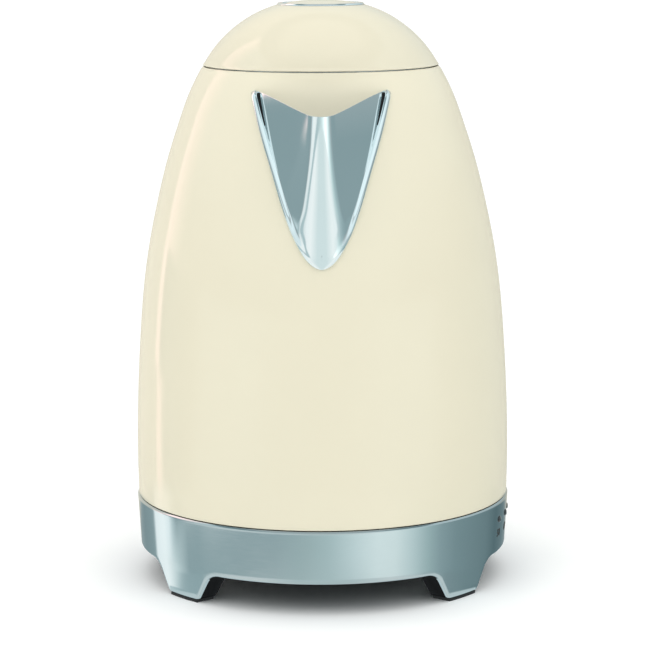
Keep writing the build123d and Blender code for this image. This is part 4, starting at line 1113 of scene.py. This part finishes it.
BAND = [(-180, 0.45), (-150, (0.30, 0.40, 0.42, 1)), (-131.5, (0.40, 0.52, 0.54, 1)), (-129.5, (1.35, 1.40, 1.40, 1)), (-118, (1.50, 1.52, 1.50, 1)),
        (-106, (0.98, 1.10, 1.10, 1)), (-94, (0.47, 0.60, 0.62, 1)), (-30, (0.46, 0.59, 0.61, 1)), (-10, (0.56, 0.70, 0.70, 1)),
        (3, (0.68, 0.84, 0.84, 1)), (20, (1.02, 1.15, 1.15, 1)), (34, (1.24, 1.34, 1.32, 1)), (46, (1.18, 1.28, 1.26, 1)),
        (58, (0.88, 1.02, 1.02, 1)), (69, (0.58, 0.74, 0.74, 1)), (79, (0.42, 0.55, 0.57, 1)), (92, (0.33, 0.45, 0.47, 1)),
        (124, (0.24, 0.34, 0.36, 1)), (138, (0.15, 0.23, 0.25, 1)), (154, (0.20, 0.28, 0.30, 1)), (180, 0.45)]
SIDE = [(-180, 0.45), (-150, (0.30, 0.40, 0.42, 1)), (-131.5, (0.40, 0.52, 0.54, 1)), (-129.5, (1.35, 1.40, 1.40, 1)),
        (-118, (1.50, 1.52, 1.50, 1)), (-112, (1.35, 1.42, 1.42, 1)), (-108, (0.75, 0.88, 0.90, 1)), (-104, (0.42, 0.54, 0.56, 1)), (-99, (0.52, 0.64, 0.66, 1)),
        (-93, (0.80, 0.88, 0.88, 1)), (-66, (0.95, 1.0, 0.99, 1)),
        (-30, (0.90, 0.96, 0.96, 1)), (3, (0.85, 0.92, 0.92, 1)), (34, (1.20, 1.24, 1.22, 1)), (46, (1.18, 1.28, 1.26, 1)),
        (58, (0.88, 1.02, 1.02, 1)), (69, (0.58, 0.74, 0.74, 1)), (79, (0.42, 0.55, 0.57, 1)), (92, (0.33, 0.45, 0.47, 1)),
        (124, (0.24, 0.34, 0.36, 1)), (138, (0.15, 0.23, 0.25, 1)), (154, (0.20, 0.28, 0.30, 1)), (180, 0.45)]
HIGH = [(-180, 0.60), (-150, (0.86, 0.83, 0.74, 1)), (-129, (0.80, 0.78, 0.72, 1)), (-126.5, (2.30, 1.65, 1.60, 1)),
        (-119, (1.90, 1.42, 1.38, 1)), (-113, (1.35, 1.15, 1.12, 1)), (-104, 0.92), (-40, 0.99), (40, 1.08), (110, 0.84), (150, 0.66), (180, 0.60)]
EDGE = [(-180, 0.45), (-150, (0.30, 0.40, 0.42, 1)), (-131.5, (0.40, 0.52, 0.54, 1)), (-129.5, (1.35, 1.40, 1.40, 1)),
        (-118, (1.50, 1.52, 1.50, 1)), (-106, (0.98, 1.10, 1.10, 1)), (-94, (0.47, 0.60, 0.62, 1)), (-84, (0.47, 0.60, 0.62, 1)),
        (-70, (0.92, 0.98, 0.98, 1)), (-30, (0.90, 0.96, 0.96, 1)), (3, (0.80, 0.90, 0.90, 1)), (34, (1.20, 1.24, 1.22, 1)),
        (46, (1.18, 1.28, 1.26, 1)), (58, (0.88, 1.02, 1.02, 1)), (69, (0.58, 0.74, 0.74, 1)), (79, (0.42, 0.55, 0.57, 1)),
        (92, (0.33, 0.45, 0.47, 1)), (124, (0.24, 0.34, 0.36, 1)), (138, (0.15, 0.23, 0.25, 1)), (154, (0.20, 0.28, 0.30, 1)), (180, 0.45)]
DEEP = [(-180, 0.70), (-130, 0.92), (-44, (0.98, 1.02, 1.01, 1)), (-16, (0.73, 0.84, 0.84, 1)), (16, (0.73, 0.84, 0.84, 1)),
        (44, (0.96, 1.01, 1.0, 1)), (130, 0.90), (180, 0.70)]
LOW = [(-180, 0.60), (-128, (1.20, 1.25, 1.25, 1)), (-118, (0.78, 0.92, 0.94, 1)), (-106, (0.53, 0.67, 0.69, 1)),
       (-84, (0.48, 0.62, 0.64, 1)), (-74, (0.80, 0.88, 0.88, 1)), (-60, (0.95, 0.99, 0.99, 1)),
       (-40, (0.98, 1.02, 1.01, 1)), (-16, (0.73, 0.84, 0.84, 1)), (16, (0.73, 0.84, 0.84, 1)), (44, (0.96, 1.01, 1.0, 1)),
       (60, (0.82, 0.92, 0.92, 1)), (68, (0.58, 0.70, 0.71, 1)), (76, (0.50, 0.62, 0.64, 1)), (86, (0.34, 0.45, 0.47, 1)),
       (99, (0.30, 0.41, 0.43, 1)), (118, (0.22, 0.32, 0.34, 1)), (180, 0.60)]


def run(stops):
    node = wt.nodes.new("ShaderNodeValToRGB")
    wt.links.new(pos, node.inputs["Fac"])
    el = node.color_ramp.elements
    while len(el) < len(stops):
        el.new(0.5)
    for e, (deg, v) in zip(el, stops):
        e.position = deg / 360 + 0.5
        e.color = v if isinstance(v, tuple) else grey(v)
    return node.outputs["Color"]


down = wmath("MULTIPLY", sep.outputs["Z"], -1.0)
env = wmix(wstep(down, 0.12, 0.14), run(MID), run(DUSK))
env = wmix(wstep(down, 0.235, 0.255), env, run(SIDE))
env = wmix(wstep(down, 0.308, 0.316), env, run(EDGE))
env = wmix(wstep(down, 0.326, 0.334), env, run(BAND))
env = wmix(wstep(down, 0.366, 0.380), env, run(LOW))
env = wmix(wstep(down, 0.415, 0.430), env, run(DEEP))
env = wmix(wstep(sep.outputs["Z"], 0.028, 0.05), env, run(RISE))
env = wmix(wstep(sep.outputs["Z"], 0.08, 0.32), env, run(HIGH))
env = wmix(wstep(sep.outputs["Z"], 0.765, 0.80), env, (0.26, 0.34, 0.36))
env = wmix(wstep(sep.outputs["Z"], 0.87, 0.92), env, (0.58, 0.63, 0.64))
lp = wt.nodes.new("ShaderNodeLightPath")
soft = wmix(wstep(sep.outputs["Z"], -0.05, 1.1), (0.12, 0.165, 0.165), (1.62, 1.625, 1.62))
fill = wmix(lp.outputs["Is Diffuse Ray"], env, soft)
final = wmix(lp.outputs["Is Camera Ray"], fill, (1.0, 1.0, 1.0))
bg = wt.nodes.new("ShaderNodeBackground")
wt.links.new(final, bg.inputs["Color"])
wt.links.new(bg.outputs[0], out.inputs["Surface"])


def lamp(name, where, at, size, power, color=(1, 1, 1)):
    li = bpy.data.lights.new(name, "AREA")
    li.shape, li.size, li.size_y, li.energy, li.color = "RECTANGLE", size[0], size[1], power, color
    ob = bpy.data.objects.new(name, li)
    scene.collection.objects.link(ob)
    ob.location = where
    ob.rotation_euler = (Vector(at) - Vector(where)).to_track_quat("-Z", "Y").to_euler()
    ob.visible_camera = False
    ob.visible_glossy = False
    return ob


lamp("key_left", (-1.5, -1.7, 1.9), (0, 0, 0.12), (1.6, 1.6), 8.0, (1.0, 0.985, 0.965))
lamp("fill_right", (1.8, -1.5, 1.3), (0, 0, 0.12), (1.6, 1.4), 5.0, (0.97, 0.99, 1.0))
lamp("top", (0, 0.3, 2.4), (0, 0, 0.1), (2.2, 2.2), 1.5)

cam = bpy.data.cameras.new("camera")
cam.lens, cam.sensor_width, cam.sensor_fit = 2531.8 / 645 * 36.0, 36.0, "AUTO"
cam.clip_start, cam.clip_end = 0.05, 60.0
camera = bpy.data.objects.new("camera", cam)
scene.collection.objects.link(camera)
pitch, roll = 0.164, -0.0045
camera.matrix_world = (
    Matrix.Translation((0.0, -1.1, 0.2928)) @ Matrix.Rotation(math.pi / 2 - pitch, 4, "X") @ Matrix.Rotation(roll, 4, "Z")
)
cam.shift_x = 0.5 / 645
scene.camera = camera
